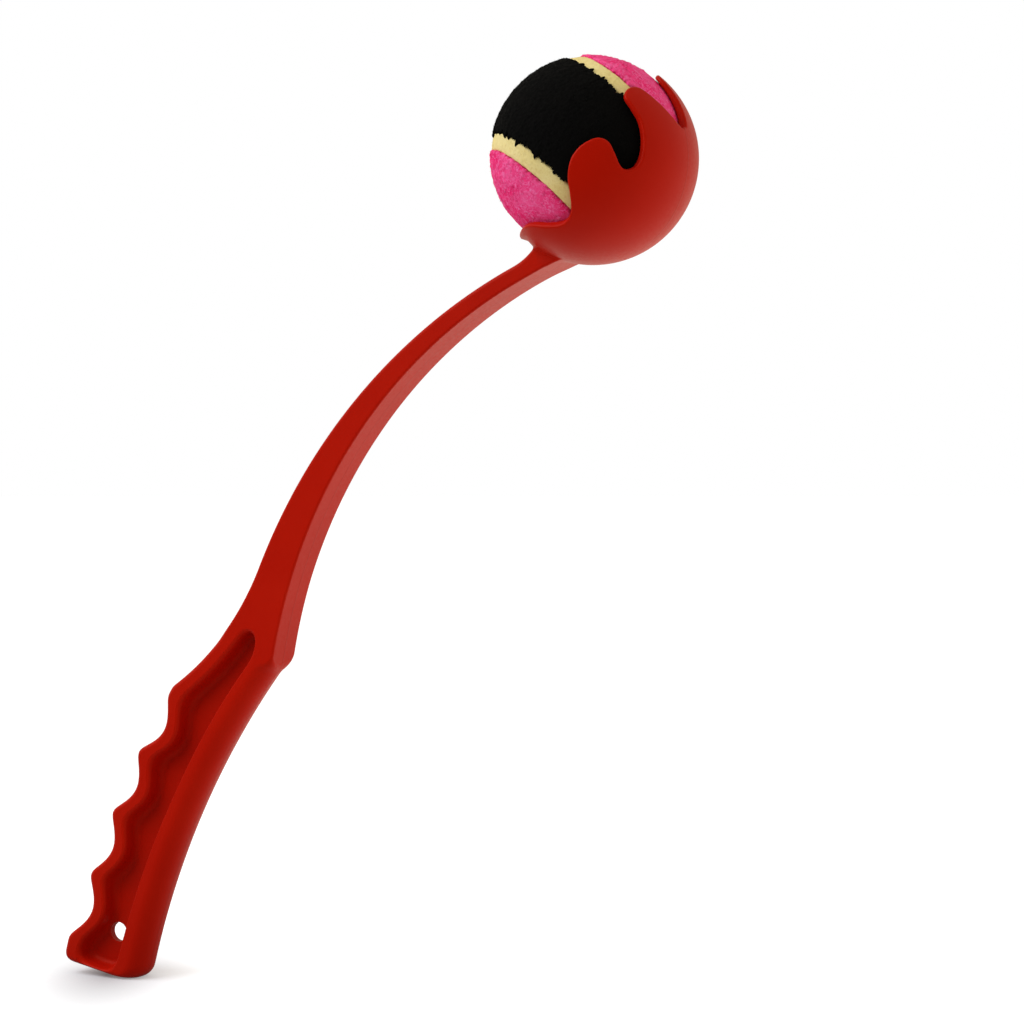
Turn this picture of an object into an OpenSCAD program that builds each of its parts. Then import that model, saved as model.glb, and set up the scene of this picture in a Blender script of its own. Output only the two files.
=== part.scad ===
// Dog ball thrower: a one-piece plastic moulding, with a grooved handle, a curved springy arm
// and a pronged cup, and the felt-covered rubber ball that the cup holds.
// Lengths are in millimetres. The middle plane of the moulding is y = 0, +z is up, and the
// origin is the centre of the hanging hole near the end of the handle.
// The back of the handle and the back of the arm are two arcs that meet at the shoulder.
// Every section of the moulding runs from a point of the back to a point of the front.

/* [Ball] */
// Diameter of the ball over its felt
ball_d = 63.5; // [58:0.5:70]
// Thickness of the felt cover
felt_t = 3.2; // [2:0.1:5]
// How much lower the pale rings lie than the felt beside them
ring_drop = 0.6; // [0.2:0.1:1.2]
// Wall of the hollow rubber core
core_wall = 3.3; // [2.5:0.1:5]
// Half angle of each pink cap
cap_angle = 48; // [35:1:55]
// Angular width of each pale ring
ring_angle = 11; // [6:1:15]
// Tilt of the axis of the coloured bands from the vertical
band_tilt = 44; // [0:1:90]
// Turn of the axis of the coloured bands about the vertical
band_turn = 40; // [0:1:180]

/* [Cup] */
// Clearance between the ball and the cup
ball_clear = 0.25; // [0.1:0.05:0.6]
// Wall of the cup at its rim
rim_wall = 1.9; // [1.5:0.1:3]
// Wall of the cup at its floor
floor_wall = 3.8; // [2.5:0.1:5]
// Direction in which the mouth faces, measured up from +x in the middle plane
mouth_angle = 135; // [125:1:145]
// Lean of the rim to the near side, about the line from the cup's centre to its tip end
mouth_lean = 12; // [0:1:15]
// Turn of the prongs about the rim's own axis
mouth_turn = -6; // [-10:1:10]
// How far the cup stands out behind the line of the arm's back
cup_bulge = 5.5; // [3:0.1:9]
// Bottom of the slot between the two tip prongs, as an angle from the rim's axis
slot_low = 118; // [108:1:124]
// Top of the tip prongs, as an angle from the rim's axis
tip_prong = 84; // [80:0.5:90]
// Bottom of the side notches, as an angle from the rim's axis
side_notch = 119; // [110:1:126]
// Top of the side prongs, as an angle from the rim's axis
side_prong = 89.5; // [84:0.5:96]
// Bottom of the notches beside the arm, as an angle from the rim's axis
arm_notch = 110; // [104:1:118]
// Top of the lip over the arm, as an angle from the rim's axis
arm_lip = 91; // [88:0.5:98]

/* [Arm] */
// Radius of the arm's back
arm_back_r = 178.2; // [160:0.2:210]
// Radius of the arm's front
arm_front_r = 208; // [190:1:240]
// Direction in which the arm leaves the shoulder, measured up from +x
arm_rise = 80.5; // [74:0.5:86]
// Angle that the arm turns through, from the shoulder to the cup
arm_turn = 64.5; // [55:0.1:72]
// Depth of the arm at the shoulder, front to back
arm_depth_low = 16.8; // [14:0.1:19]
// Depth of the arm at the cup, front to back
arm_depth_top = 5.3; // [4:0.1:8]
// Thickness of the arm near the shoulder
arm_thick_low = 14; // [11:0.5:15]
// Thickness of the arm at the cup
arm_thick_top = 18; // [13:0.5:20]
// Rounding of the arm's long front edges
arm_edge = 1.2; // [0.6:0.1:2]
// Rounding of the arm's long back edges
arm_back_edge = 0.8; // [0.4:0.1:1.5]
// How far the root of the arm flares where it runs into the cup
neck_flare = 3; // [1:0.1:7]
// Length over which the root flares
neck_len = 9; // [5:0.5:14]

/* [Handle] */
// Radius of the handle's back
handle_back_r = 284; // [240:1:360]
// Direction of the handle at the hanging hole, measured up from +x
handle_lean = 73.8; // [68:0.2:80]
// Distance from the hanging hole to the end of the handle
end_len = 13; // [11:0.1:18]
// Distance from the hanging hole to the shoulder, along the handle's back
shoulder_len = 114.6; // [108:0.2:124]
// Thickness of the handle
handle_thick = 15; // [13:0.5:20]
// Depth of the handle over the finger ridges, front to back
grip_depth = 27.8; // [25:0.1:31]
// Number of finger grooves
groove_count = 4; // [3:1:4]
// Distance from one finger ridge to the next
groove_pitch = 24.3; // [22:0.1:26]
// Depth of the finger grooves
groove_depth = 5.1; // [2:0.1:6]
// How much deeper the grip is at its end than at its first ridge
grip_taper = 1.6; // [0:0.1:3]
// How far the last ridge, at the end of the handle, stands out past the others
pommel_flare = 2.2; // [1:0.1:5]
// Distance from the end of the handle to its last ridge
pommel_len = 6.9; // [4:0.1:8]
// Width of the rounded top of the first ridge
ridge_top = 3.2; // [0.5:0.1:4]
// Radius of the hollow sweep from the first ridge up to the arm's front
sweep_r = 100; // [70:1:130]
// Radius of the shoulder's corner
shoulder_r = 6; // [3:0.5:8]
// Depth of the rounding of the handle's back
back_round = 6; // [4:0.1:7.5]
// Rounding of the handle's front edges
grip_edge = 2; // [1:0.1:3]

/* [Side pockets and hanging hole] */
// Thickness of the web between the two side pockets
web_t = 3; // [2:0.1:5]
// Wall between a pocket and the front of the handle
pocket_front = 4.6; // [3:0.1:6]
// Wall between a pocket and the back of the handle
pocket_back = 8; // [7:0.1:9]
// Wall between a pocket and the end of the handle
pocket_end = 3.4; // [2.5:0.1:5]
// Rounding of the corners of a pocket
pocket_r = 3.6; // [1.5:0.1:4]
// Diameter of the hanging hole
hole_d = 6.8; // [4:0.1:8]
// Distance from the centre of the hanging hole to the handle's back
hole_inset = 15; // [14:0.1:16.5]

/* [Hidden] */

RED = [0.64, 0.10, 0.06];
BLACK_FELT = [0.03, 0.03, 0.03];
PALE_FELT = [0.86, 0.79, 0.52];
PINK_FELT = [0.88, 0.22, 0.52];
CORE_RUBBER = [0.30, 0.28, 0.26];

// A cut runs this far past the faces that it opens
CUT = 2;
// Circles and spheres are drawn with this many sides
SIDES = 120;

// Ball and cup radii
ball_r = ball_d / 2;
core_r = ball_r - felt_t;
cavity_r = ball_r + ball_clear;
cup_r = cavity_r + rim_wall;
cavity_shift = floor_wall - rim_wall;

// Degrees of arc that a length covers on a circle
function arc_deg(length, r) = length / r * 180 / PI;
// Unit vector in the middle plane, as [x, z]
function dir(a) = [cos(a), sin(a)];
// Direction of a vector in the middle plane
function heading(v) = atan2(v[1], v[0]);
// The point where two circles meet that lies to the left of the line from c1 to c2
function circles_meet(c1, r1, c2, r2) =
    let (d = norm(c2 - c1), u = (c2 - c1) / d, t = (d * d + r1 * r1 - r2 * r2) / (2 * d))
    c1 + u * t + [-u[1], u[0]] * sqrt(r1 * r1 - t * t);
// A smooth step from 0 to 1
function ease(t) = t * t * (3 - 2 * t);
function clamp01(t) = min(1, max(0, t));
function mix(a, b, t) = a + (b - a) * t;

// Handle: rays run from handle_c, and a smaller angle lies further up the handle
hole_a = 90 + handle_lean;
handle_c = -(handle_back_r + hole_inset) * dir(hole_a);
end_a = hole_a + arc_deg(end_len, handle_back_r);
shoulder_a = hole_a - arc_deg(shoulder_len, handle_back_r);
pommel_a = end_a - arc_deg(pommel_len, handle_back_r);
pitch_a = arc_deg(groove_pitch, handle_back_r + grip_depth);
ridge_a = pommel_a - groove_count * pitch_a;
sweep_start_a = ridge_a - arc_deg(ridge_top, handle_back_r + grip_depth);
first_ridge = handle_c + (handle_back_r + grip_depth) * dir(sweep_start_a);
shoulder = handle_c + handle_back_r * dir(shoulder_a);

// Arm: rays run from arm_c, and a smaller angle lies nearer the cup
arm_low_a = 90 + arm_rise;
arm_c = shoulder - arm_back_r * dir(arm_low_a);
cup_a = arm_low_a - arm_turn;
front_low = arm_c + (arm_back_r + arm_depth_low) * dir(arm_low_a);
front_top = arm_c + (arm_back_r + arm_depth_top) * dir(cup_a);
front_c = circles_meet(front_top, arm_front_r, front_low, arm_front_r);
sweep_c = circles_meet(first_ridge, sweep_r, front_c, arm_front_r + sweep_r);
sweep_low_a = heading(first_ridge - sweep_c);
sweep_top_a = heading(front_c - sweep_c);
sweep_end_a = heading(sweep_c + sweep_r * dir(sweep_top_a) - arm_c);
cup_c = arm_c + (arm_back_r + cup_r - cup_bulge) * dir(cup_a);
ball_c = cup_c + cavity_shift * dir(mouth_angle);
root_a = heading(circles_meet(front_c, arm_front_r, cup_c, cup_r) - arm_c);

// Shoulder: a small arc inside the corner of the two backs
corner_c = circles_meet(handle_c, handle_back_r + shoulder_r, arm_c, arm_back_r + shoulder_r);
corner_low_a = heading(corner_c - handle_c);
corner_top_a = heading(corner_c - arm_c);

// The three stretches of the back that face the sweep: handle, shoulder corner and arm
back_lens = [handle_back_r * (sweep_start_a - corner_low_a), shoulder_r * (corner_top_a - corner_low_a),
             arm_back_r * (corner_top_a - sweep_end_a)];
back_len = back_lens[0] + back_lens[1] + back_lens[2];

// The arm ends and the cup's neck begins on this ray
neck_a = root_a + arc_deg(1.5 * neck_len, arm_back_r);

// The finger grooves are near-round scallops whose ridges are softened by this share
RIDGE_SOFT = 0.22;
// Power by which the flare of the pommel grows along the grip
FLARE_POWER = 10;
function scallop(t) =
    (sqrt(sin(180 * t) ^ 2 + RIDGE_SOFT ^ 2) - RIDGE_SOFT) / (sqrt(1 + RIDGE_SOFT ^ 2) - RIDGE_SOFT);
function grip_front(a) =
    let (k = (a - ridge_a) / pitch_a, share = clamp01(k / groove_count))
    grip_depth + grip_taper * share + pommel_flare * share ^ FLARE_POWER
        - (k < groove_count ? groove_depth * scallop(k) : 0);
// Distance from a point of the arm's back to its front along a direction
function front_distance(p, a) =
    let (v = p - front_c, b = v * dir(a))
    sqrt(b * b - v * v + arm_front_r ^ 2) - b;

// A station is [back point, direction to the front, depth, half thickness, front edge, back edge depth,
// back edge height]
FULL_ROUND = 0.93;
function rounding(e, r) = e < r ? r - sqrt(r * r - (r - e) ^ 2) : 0;
// The corner radii of the handle's end: front, sides and back
end_front_r = 3;
end_side_r = 1.6;
end_back_r = 8;

function handle_station(a, depth) =
    let (e = (end_a - a) * PI / 180 * handle_back_r)
    let (lift = rounding(e, end_back_r), half = handle_thick / 2 - rounding(e, end_side_r))
    [handle_c + (handle_back_r + lift) * dir(a), a, depth - lift - rounding(e, end_front_r), half,
     grip_edge, back_round, FULL_ROUND * half];
// A station of the sweep: t runs along the front from the first ridge to the arm, and form runs from
// the handle's section to the arm's section
function sweep_station(p, t, form) =
    let (v = sweep_c + sweep_r * dir(mix(sweep_low_a, sweep_top_a, t)) - p)
    [p, heading(v), norm(v), mix(handle_thick, arm_thick_low, t) / 2, mix(grip_edge, arm_edge, form),
     mix(back_round, arm_back_edge, form), mix(FULL_ROUND * handle_thick / 2, arm_back_edge, form)];
function arm_half(a) = mix(arm_thick_top, arm_thick_low, (a - cup_a) / (sweep_end_a - cup_a)) / 2;
function neck(a) = 1 - clamp01((a - root_a) * PI / 180 * arm_back_r / neck_len);
function arm_station(a) =
    let (p = arm_c + arm_back_r * dir(a), flare = neck_flare * neck(a) ^ 2)
    [p, a, front_distance(p, a) + flare, arm_half(a) + flare / 2, arm_edge, arm_back_edge, arm_back_edge];

// Angles of the stations
END_STEPS = [0, 0.2, 0.6, 1.2, 2, 3, 4];
GROOVE_STEPS = 10;
SWEEP_STEPS = 5;
CORNER_STEPS = 6;
TIP_STEPS = 5;
ARM_STEPS = 22;
NECK_STEPS = 9;

handle_stations = concat(
    [for (e = END_STEPS) let (a = end_a - arc_deg(e, handle_back_r)) handle_station(a, grip_front(a))],
    [for (i = [groove_count * GROOVE_STEPS:-1:0])
        let (a = ridge_a + i * pitch_a / GROOVE_STEPS) handle_station(a, grip_front(a))],
    [for (i = [0:SWEEP_STEPS - 1])
        let (t = i / SWEEP_STEPS, p = handle_c + handle_back_r * dir(mix(sweep_start_a, corner_low_a, t)))
        sweep_station(p, t * back_lens[0] / back_len, 0)],
    [for (i = [0:CORNER_STEPS - 1])
        let (t = i / CORNER_STEPS, p = corner_c - shoulder_r * dir(mix(corner_low_a, corner_top_a, t)))
        sweep_station(p, (back_lens[0] + t * back_lens[1]) / back_len, ease(t))],
    [for (i = [0:TIP_STEPS])
        let (t = i / TIP_STEPS, p = arm_c + arm_back_r * dir(mix(corner_top_a, sweep_end_a, t)))
        sweep_station(p, 1 - (1 - t) * back_lens[2] / back_len, 1)]);
arm_stations = [for (i = [0:ARM_STEPS]) arm_station(mix(sweep_end_a, neck_a, i / ARM_STEPS))];
neck_stations = [for (i = [0:NECK_STEPS]) arm_station(mix(neck_a, cup_a, i / NECK_STEPS))];

// Outline of a station: a box with round front edges and an elliptic rounding of its back edges
FRONT_STEPS = 3;
BACK_STEPS = 4;
function station_outline(s) =
    let (w = s[2], h = s[3], f = s[4], bw = s[5], bh = s[6])
    let (near = concat(
        [for (i = [0:FRONT_STEPS]) let (t = 90 * i / FRONT_STEPS)
            [w - f + f * cos(t), f - h - f * sin(t)]],
        [for (i = [0:BACK_STEPS]) let (t = 90 * i / BACK_STEPS)
            [bw - bw * sin(t), bh - h - bh * cos(t)]]))
    concat(near, [for (i = [len(near) - 1:-1:0]) [near[i][0], -near[i][1]]]);
function station_points(s) =
    let (d = dir(s[1]))
    [for (q = station_outline(s)) [s[0][0] + q[0] * d[0], q[1], s[0][1] + q[0] * d[1]]];

// Skin over a row of stations, in order from the end of the handle to the cup
module loft(stations) {
    rings = [for (s = stations) station_points(s)];
    n = len(rings[0]);
    last = n * (len(rings) - 1);
    sides = [for (i = [0:len(rings) - 2]) for (j = [0:n - 1])
        let (k = (j + 1) % n, a = i * n, b = a + n)
        each [[a + j, b + k, a + k], [a + j, b + j, b + k]]];
    polyhedron(
        points = [for (r = rings) each r],
        faces = concat([[for (j = [0:n - 1]) j]], sides, [[for (j = [n - 1:-1:0]) last + j]]));
}

// Turns a shape drawn in x and y into the middle plane, and its height into -y
module in_mid_plane() {
    rotate([90, 0, 0])
        children();
}

// Points half-way between the points of a row, so that a pocket's corners miss the joins of the skin
function halfway(row) = [for (i = [1:len(row) - 1]) (row[i - 1] + row[i]) / 2];

// One side pocket follows the finger grooves at the front and the handle's back behind
module pocket() {
    low_a = end_a - arc_deg(pocket_end, handle_back_r);
    rows = [for (s = handle_stations) if (s[1] < low_a) s];
    front = [for (s = rows) s[0] + (s[2] - pocket_front) * dir(s[1])];
    back = [for (i = [len(rows) - 1:-1:0]) rows[i][0] + pocket_back * dir(rows[i][1])];
    in_mid_plane()
        translate([0, 0, web_t / 2])
            linear_extrude(handle_thick)
                offset(r = pocket_r, $fn = 32)
                    offset(delta = -pocket_r)
                        polygon(concat(halfway(front), halfway(back)));
}

module handle() {
    color(RED)
        difference() {
            loft(handle_stations);
            pocket();
            mirror([0, 1, 0])
                pocket();
            in_mid_plane()
                cylinder(d = hole_d, h = web_t + 2 * CUT, center = true, $fn = SIDES);
        }
}

module arm() {
    color(RED)
        loft(arm_stations);
}

// Flanks of the rim, from the tip end to the arm: each eases from the last level to a new one.
// A row is [start, end, level reached, skew], with the start and end as angles round the mouth.
RIM_FLANKS = [
    [3.5, 16.5, tip_prong, 1],
    [27.3, 49.5, side_notch, 0.45],
    [53.5, 63.5, side_prong, 0.35],
    [70, 102.5, arm_notch, 1],
    [105.5, 140, arm_lip, 0.76]];
FLANK_STEPS = 9;
function flank_level(f) = f < 0 ? slot_low : RIM_FLANKS[f][2];
half_rim = concat(
    [[0, slot_low]],
    [for (f = [0:len(RIM_FLANKS) - 1]) for (i = [0:FLANK_STEPS])
        let (row = RIM_FLANKS[f], t = i / FLANK_STEPS)
        [mix(row[0], row[1], t), mix(flank_level(f - 1), row[2], ease(t ^ row[3]))]],
    [[180, arm_lip]]);
whole_rim = concat(half_rim, [for (i = [len(half_rim) - 2:-1:1]) [-half_rim[i][0], half_rim[i][1]]]);

// Places a shape made about the z axis at a point of the middle plane, with its z axis along an angle
module aim(p, a) {
    translate([p[0], 0, p[1]])
        rotate([0, 90 - a, 0])
            children();
}

// Everything above the rim: a crown whose lower face is a cone from the cup's centre through the rim
module rim_cut() {
    reach = 3 * cup_r;
    n = len(whole_rim);
    ring = [for (q = whole_rim) reach * [sin(q[1]) * cos(q[0]), sin(q[1]) * sin(q[0]), cos(q[1])]];
    faces = [for (i = [0:n - 1]) let (k = (i + 1) % n) each [[i, n, k], [k, n + 1, i]]];
    polyhedron(points = concat(ring, [[0, 0, 2 * reach], [0, 0, 0]]), faces = faces);
}

module ball_cup() {
    color(RED)
        difference() {
            union() {
                translate([cup_c[0], 0, cup_c[1]])
                    sphere(cup_r, $fn = SIDES);
                loft(neck_stations);
            }
            translate([ball_c[0], 0, ball_c[1]])
                sphere(cavity_r, $fn = SIDES);
            aim(cup_c, mouth_angle)
                rotate([mouth_lean, 0, 0])
                    rotate([0, 0, mouth_turn])
                        rim_cut();
        }
}

// Places a piece of the ball, made about its band axis
module on_ball() {
    translate([ball_c[0], 0, ball_c[1]])
        rotate([0, band_tilt, band_turn])
            children();
}

// Zone of a hollow ball between two angles from the band axis
module ball_zone(inner, outer, from, to) {
    steps = 6;
    far = 2 * outer;
    rim = [for (i = [0:steps]) let (a = mix(from, to, i / steps)) far * [sin(a), cos(a)]];
    intersection() {
        difference() {
            sphere(outer, $fn = SIDES);
            sphere(inner, $fn = SIDES);
        }
        rotate_extrude($fn = SIDES)
            polygon(concat([[0, 0]], rim));
    }
}

module core_half(flip) {
    color(CORE_RUBBER)
        on_ball()
            mirror([0, 0, flip])
                ball_zone(core_r - core_wall, core_r, 0, 90);
}

module felt_zone(outer, from, to, tint) {
    color(tint)
        on_ball()
            ball_zone(core_r, outer, from, to);
}

module core_half_upper() {
    core_half(0);
}

module core_half_lower() {
    core_half(1);
}

module felt_pink_cap_upper() {
    felt_zone(ball_r, 0, cap_angle, PINK_FELT);
}

module felt_pale_ring_upper() {
    felt_zone(ball_r - ring_drop, cap_angle, cap_angle + ring_angle, PALE_FELT);
}

module felt_black_belt() {
    felt_zone(ball_r, cap_angle + ring_angle, 180 - cap_angle - ring_angle, BLACK_FELT);
}

module felt_pale_ring_lower() {
    felt_zone(ball_r - ring_drop, 180 - cap_angle - ring_angle, 180 - cap_angle, PALE_FELT);
}

module felt_pink_cap_lower() {
    felt_zone(ball_r, 180 - cap_angle, 180, PINK_FELT);
}

handle();
arm();
ball_cup();
core_half_upper();
core_half_lower();
felt_black_belt();
felt_pale_ring_upper();
felt_pale_ring_lower();
felt_pink_cap_upper();
felt_pink_cap_lower();
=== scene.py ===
import logging
from dataclasses import dataclass, fields
from enum import Enum
from typing import Iterable

import bpy
import numpy as np
from mathutils import Matrix


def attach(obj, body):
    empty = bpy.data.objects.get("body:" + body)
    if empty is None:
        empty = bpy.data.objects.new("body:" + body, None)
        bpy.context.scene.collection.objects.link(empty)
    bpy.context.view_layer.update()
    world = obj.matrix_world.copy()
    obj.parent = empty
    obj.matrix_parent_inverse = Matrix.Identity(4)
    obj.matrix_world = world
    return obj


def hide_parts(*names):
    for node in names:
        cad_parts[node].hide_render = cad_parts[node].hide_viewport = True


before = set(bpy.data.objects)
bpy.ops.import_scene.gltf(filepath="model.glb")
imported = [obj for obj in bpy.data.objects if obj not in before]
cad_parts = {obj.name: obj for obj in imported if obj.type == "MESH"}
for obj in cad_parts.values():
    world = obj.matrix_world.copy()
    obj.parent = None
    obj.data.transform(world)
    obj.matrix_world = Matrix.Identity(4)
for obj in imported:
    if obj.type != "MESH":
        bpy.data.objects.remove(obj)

Array = np.ndarray
Span = tuple[float, float]
Vector = tuple[float, float, float]
Colour = tuple[float, float, float, float]
Object = bpy.types.Object
Material = bpy.types.Material
Socket = bpy.types.NodeSocket
Tree = bpy.types.NodeTree
MM = 0.001
WHITE: Colour = (1.0, 1.0, 1.0, 1.0)
BLACK: Colour = (0.0, 0.0, 0.0, 1.0)
LOG = logging.getLogger("dog_ball_thrower")
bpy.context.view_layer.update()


class Body(Enum):
    """Rigid bodies of the object."""

    THROWER = "thrower"
    BALL = "ball"


class Slot(Enum):
    """Names of material slots of the record, used here as keys for the new pieces' finishes."""

    PLASTIC = "thrower_plastic"
    BLACK = "felt_black"
    PALE = "felt_pale"
    PINK = "felt_pink"


def heading(v: Array) -> Array:
    """Direction in degrees of a vector (x, z) of the middle plane."""
    return np.degrees(np.arctan2(v[..., 1], v[..., 0]))


def ray(a: Array | float) -> Array:
    """Unit vector (x, z) of the middle plane at an angle in degrees."""
    t = np.radians(a)
    return np.stack([np.cos(t), np.sin(t)], axis=-1)


def in_space(p: Iterable[float]) -> Array:
    """Point or vector of space from the (x, z) of one in the middle plane."""
    x, z = p
    return np.array([x, 0.0, z])


def circles_meet(c1: Array, r1: float, c2: Array, r2: float) -> Array:
    """Meeting point of two circles that lies to the left of the line from the first centre to the second.

    Args:
        c1: Centre (x, z) of the first circle.
        r1: Radius of the first circle.
        c2: Centre (x, z) of the second circle.
        r2: Radius of the second circle.
    Returns:
        The point (x, z).
    """
    d = np.linalg.norm(c2 - c1)
    u = (c2 - c1) / d
    t = (d * d + r1 * r1 - r2 * r2) / (2 * d)
    return c1 + u * t + np.array([-u[1], u[0]]) * np.sqrt(r1 * r1 - t * t)


def mix(a: Array | float, b: Array | float, t: Array | float) -> Array | float:
    """Value a share t of the way from a to b."""
    return a + (b - a) * t


def ease(t: Array) -> Array:
    """Smooth step from 0 to 1 with level ends, for values that are first held to that range."""
    t = np.clip(t, 0, 1)
    return t * t * (3 - 2 * t)


def unit(v: Array) -> Array:
    """Vectors scaled to length one along the last axis."""
    return v / np.linalg.norm(v, axis=-1, keepdims=True)


def sphere_ways(turn: Array, level: Array, axes: Iterable[Array]) -> Array:
    """Unit vectors of a sphere: sin(level) round the third axis plus cos(level) along it.

    Args:
        turn: Angles round the third axis from the first to the second, in degrees.
        level: Angles from the third axis, in degrees.
        axes: Three unit vectors at right angles.
    Returns:
        The vectors, with the shape of the angles and then x, y and z.
    """
    first, second, third = axes
    p, q = np.radians(turn)[..., None], np.radians(level)[..., None]
    return np.sin(q) * (np.cos(p) * first + np.sin(p) * second) + np.cos(q) * third


def rounding(e: Array, r: float) -> Array:
    """Setback of a round corner of radius r at a distance e from the end face."""
    return r - np.sqrt(r * r - np.maximum(r - e, 0) ** 2)


def along(points: Array) -> Array:
    """Length along a row of points, from 0 at the first one."""
    return np.concatenate([[0.0], np.cumsum(np.linalg.norm(np.diff(points, axis=0), axis=1))])


def around(ring: Array) -> Array:
    """Unit vectors along a closed ring of points, each between its two neighbours."""
    return unit(np.roll(ring, -1, axis=0) - np.roll(ring, 1, axis=0))


def resample(points: Array, count: int) -> Array:
    """Row of points at even steps of length along a given row.

    Args:
        points: Row of points, one per line, with any number of columns after x and z.
        count: Number of points wanted, both ends among them.
    Returns:
        The new row, with every column read at the new places.
    """
    s = along(points[:, :2])
    at = np.linspace(0, s[-1], count)
    return np.stack([np.interp(at, s, c) for c in points.T], axis=1)


def soften(points: Array, spread: float, closed: bool) -> Array:
    """Rounds the corners of an even row of points by a bell-shaped average, cut off at three deviations.

    Args:
        points: Row of points at even steps of length.
        spread: Standard deviation of the bell, in the points' unit of length.
        closed: True if the last point is next to the first one.
    Returns:
        The averaged row, of the same size.
    """
    step = np.linalg.norm(points[1, :2] - points[0, :2])
    reach = int(np.ceil(3 * spread / step))
    bell = np.exp(-0.5 * (np.arange(-reach, reach + 1) * step / spread) ** 2)
    bell /= bell.sum()
    padded = np.pad(points, ((reach, reach), (0, 0)), mode="wrap" if closed else "edge")
    if not closed:
        padded[:reach] = 2 * points[0] - points[reach:0:-1]
        padded[-reach:] = 2 * points[-1] - points[-2:-reach - 2:-1]
    return np.stack([np.convolve(c, bell, mode="valid") for c in padded.T], axis=1)


def ripples(points: Array, wave: float, seed: int, count: int = 28, spread: Span = (0.7, 1.4)) -> Array:
    """Soft unevenness: the scaled sum of seeded cosine waves that cross the points in all directions.

    Args:
        points: Places, in mm, one per line.
        wave: Middle wavelength, in mm.
        seed: Seed of the directions and phases.
        count: Number of waves.
        spread: Range of the wavelengths, as shares of the middle one.
    Returns:
        A value per point with a standard deviation of about one.
    """
    rng = np.random.default_rng(seed)
    ways = unit(rng.normal(size=(count, 3))) * (2 * np.pi / (wave * rng.uniform(*spread, (count, 1))))
    return np.cos(points @ ways.T + rng.uniform(0, 2 * np.pi, count)).sum(axis=1) * np.sqrt(2 / count)


def ring_faces(first: Array | int, second: Array | int, columns: int) -> Array:
    """Quads from closed rings of corner numbers to other rings.

    Args:
        first: First corner number of each ring on one side.
        second: First corner number of each ring on the other side.
        columns: Number of corners in a ring.
    Returns:
        Corner numbers, one quad per line.
    """
    first, second = np.reshape(first, (-1, 1)), np.reshape(second, (-1, 1))
    j = np.arange(columns)
    k = (j + 1) % columns
    return np.stack([first + j, first + k, second + k, second + j], axis=-1).reshape(-1, 4)


def grid_faces(rows: int, columns: int, start: int = 0) -> Array:
    """Quads between the neighbouring rows of a grid that closes on itself round each row."""
    first = start + columns * np.arange(rows - 1)
    return ring_faces(first, first + columns, columns)


def fan_faces(pole: int, ring: int, columns: int, flip: bool) -> Array:
    """Triangles from a pole to a closed ring.

    Args:
        pole: Corner number of the pole.
        ring: First corner number of the ring.
        columns: Number of corners in the ring.
        flip: True to go round the ring backwards.
    Returns:
        Corner numbers, one triangle per line.
    """
    j = np.arange(columns)
    k = (j + 1) % columns
    rim = (ring + k, ring + j) if flip else (ring + j, ring + k)
    return np.stack([np.full(columns, pole), *rim], axis=-1)


def mesh_object(name: str, points: Array, faces: Iterable[Array]) -> Object:
    """Object with a smooth mesh from points and face lists, turned so that its faces look outward.

    Args:
        name: Name of the object and its mesh.
        points: Corners in mm, one per line.
        faces: Arrays of corner numbers, one face per line.
    Returns:
        The new object, linked to the scene.
    """
    faces = [f for f in faces if len(f)]
    tris = np.concatenate([np.stack([f[:, 0], f[:, k], f[:, k + 1]], axis=1)
                           for f in faces for k in range(1, f.shape[1] - 1)])
    a, b, c = (points[tris[:, k]] for k in range(3))
    if np.einsum("ij,ij->", a, np.cross(b, c)) < 0:
        faces = [f[:, ::-1] for f in faces]
    mesh = bpy.data.meshes.new(name)
    sizes = np.concatenate([np.full(len(f), f.shape[1]) for f in faces])
    corners = np.concatenate([f.ravel() for f in faces])
    mesh.vertices.add(len(points))
    mesh.vertices.foreach_set("co", (points * MM).astype(np.float32).ravel())
    mesh.loops.add(len(corners))
    mesh.loops.foreach_set("vertex_index", corners.astype(np.int32))
    mesh.polygons.add(len(sizes))
    mesh.polygons.foreach_set("loop_start", (np.cumsum(sizes) - sizes).astype(np.int32))
    mesh.update(calc_edges=True)
    mesh.validate()
    mesh.shade_smooth()
    obj = bpy.data.objects.new(name, mesh)
    bpy.context.scene.collection.objects.link(obj)
    return obj


def poled_mesh(name: str, grid: Array, first_pole: Array, last_pole: Array) -> Object:
    """Object from a grid that closes round each row, with its first and last rows each fanned to a pole.

    Args:
        name: Name of the object.
        grid: Points in mm: rows, columns, then x, y and z.
        first_pole: Point inside the first row.
        last_pole: Point inside the last row.
    Returns:
        The new object.
    """
    rows, columns = grid.shape[:2]
    total = rows * columns
    points = np.concatenate([grid.reshape(-1, 3), np.stack([first_pole, last_pole])])
    return mesh_object(name, points, [
        grid_faces(rows, columns), fan_faces(total, 0, columns, True),
        fan_faces(total + 1, total - columns, columns, False)])


def plugged_mesh(name: str, grid: Array) -> Object:
    """Object from a grid that closes round each row, with its first and last rows closed by flat faces.

    Args:
        name: Name of the object.
        grid: Points in mm: rows, columns, then x, y and z.
    Returns:
        The new object.
    """
    rows, columns = grid.shape[:2]
    ring = np.arange(columns)[None]
    faces = [grid_faces(rows, columns), ring[:, ::-1], ring + (rows - 1) * columns]
    return mesh_object(name, grid.reshape(-1, 3), faces)


class Cut(Enum):
    """How a second solid is joined to a first one."""

    JOIN = "UNION"
    REMOVE = "DIFFERENCE"


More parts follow.
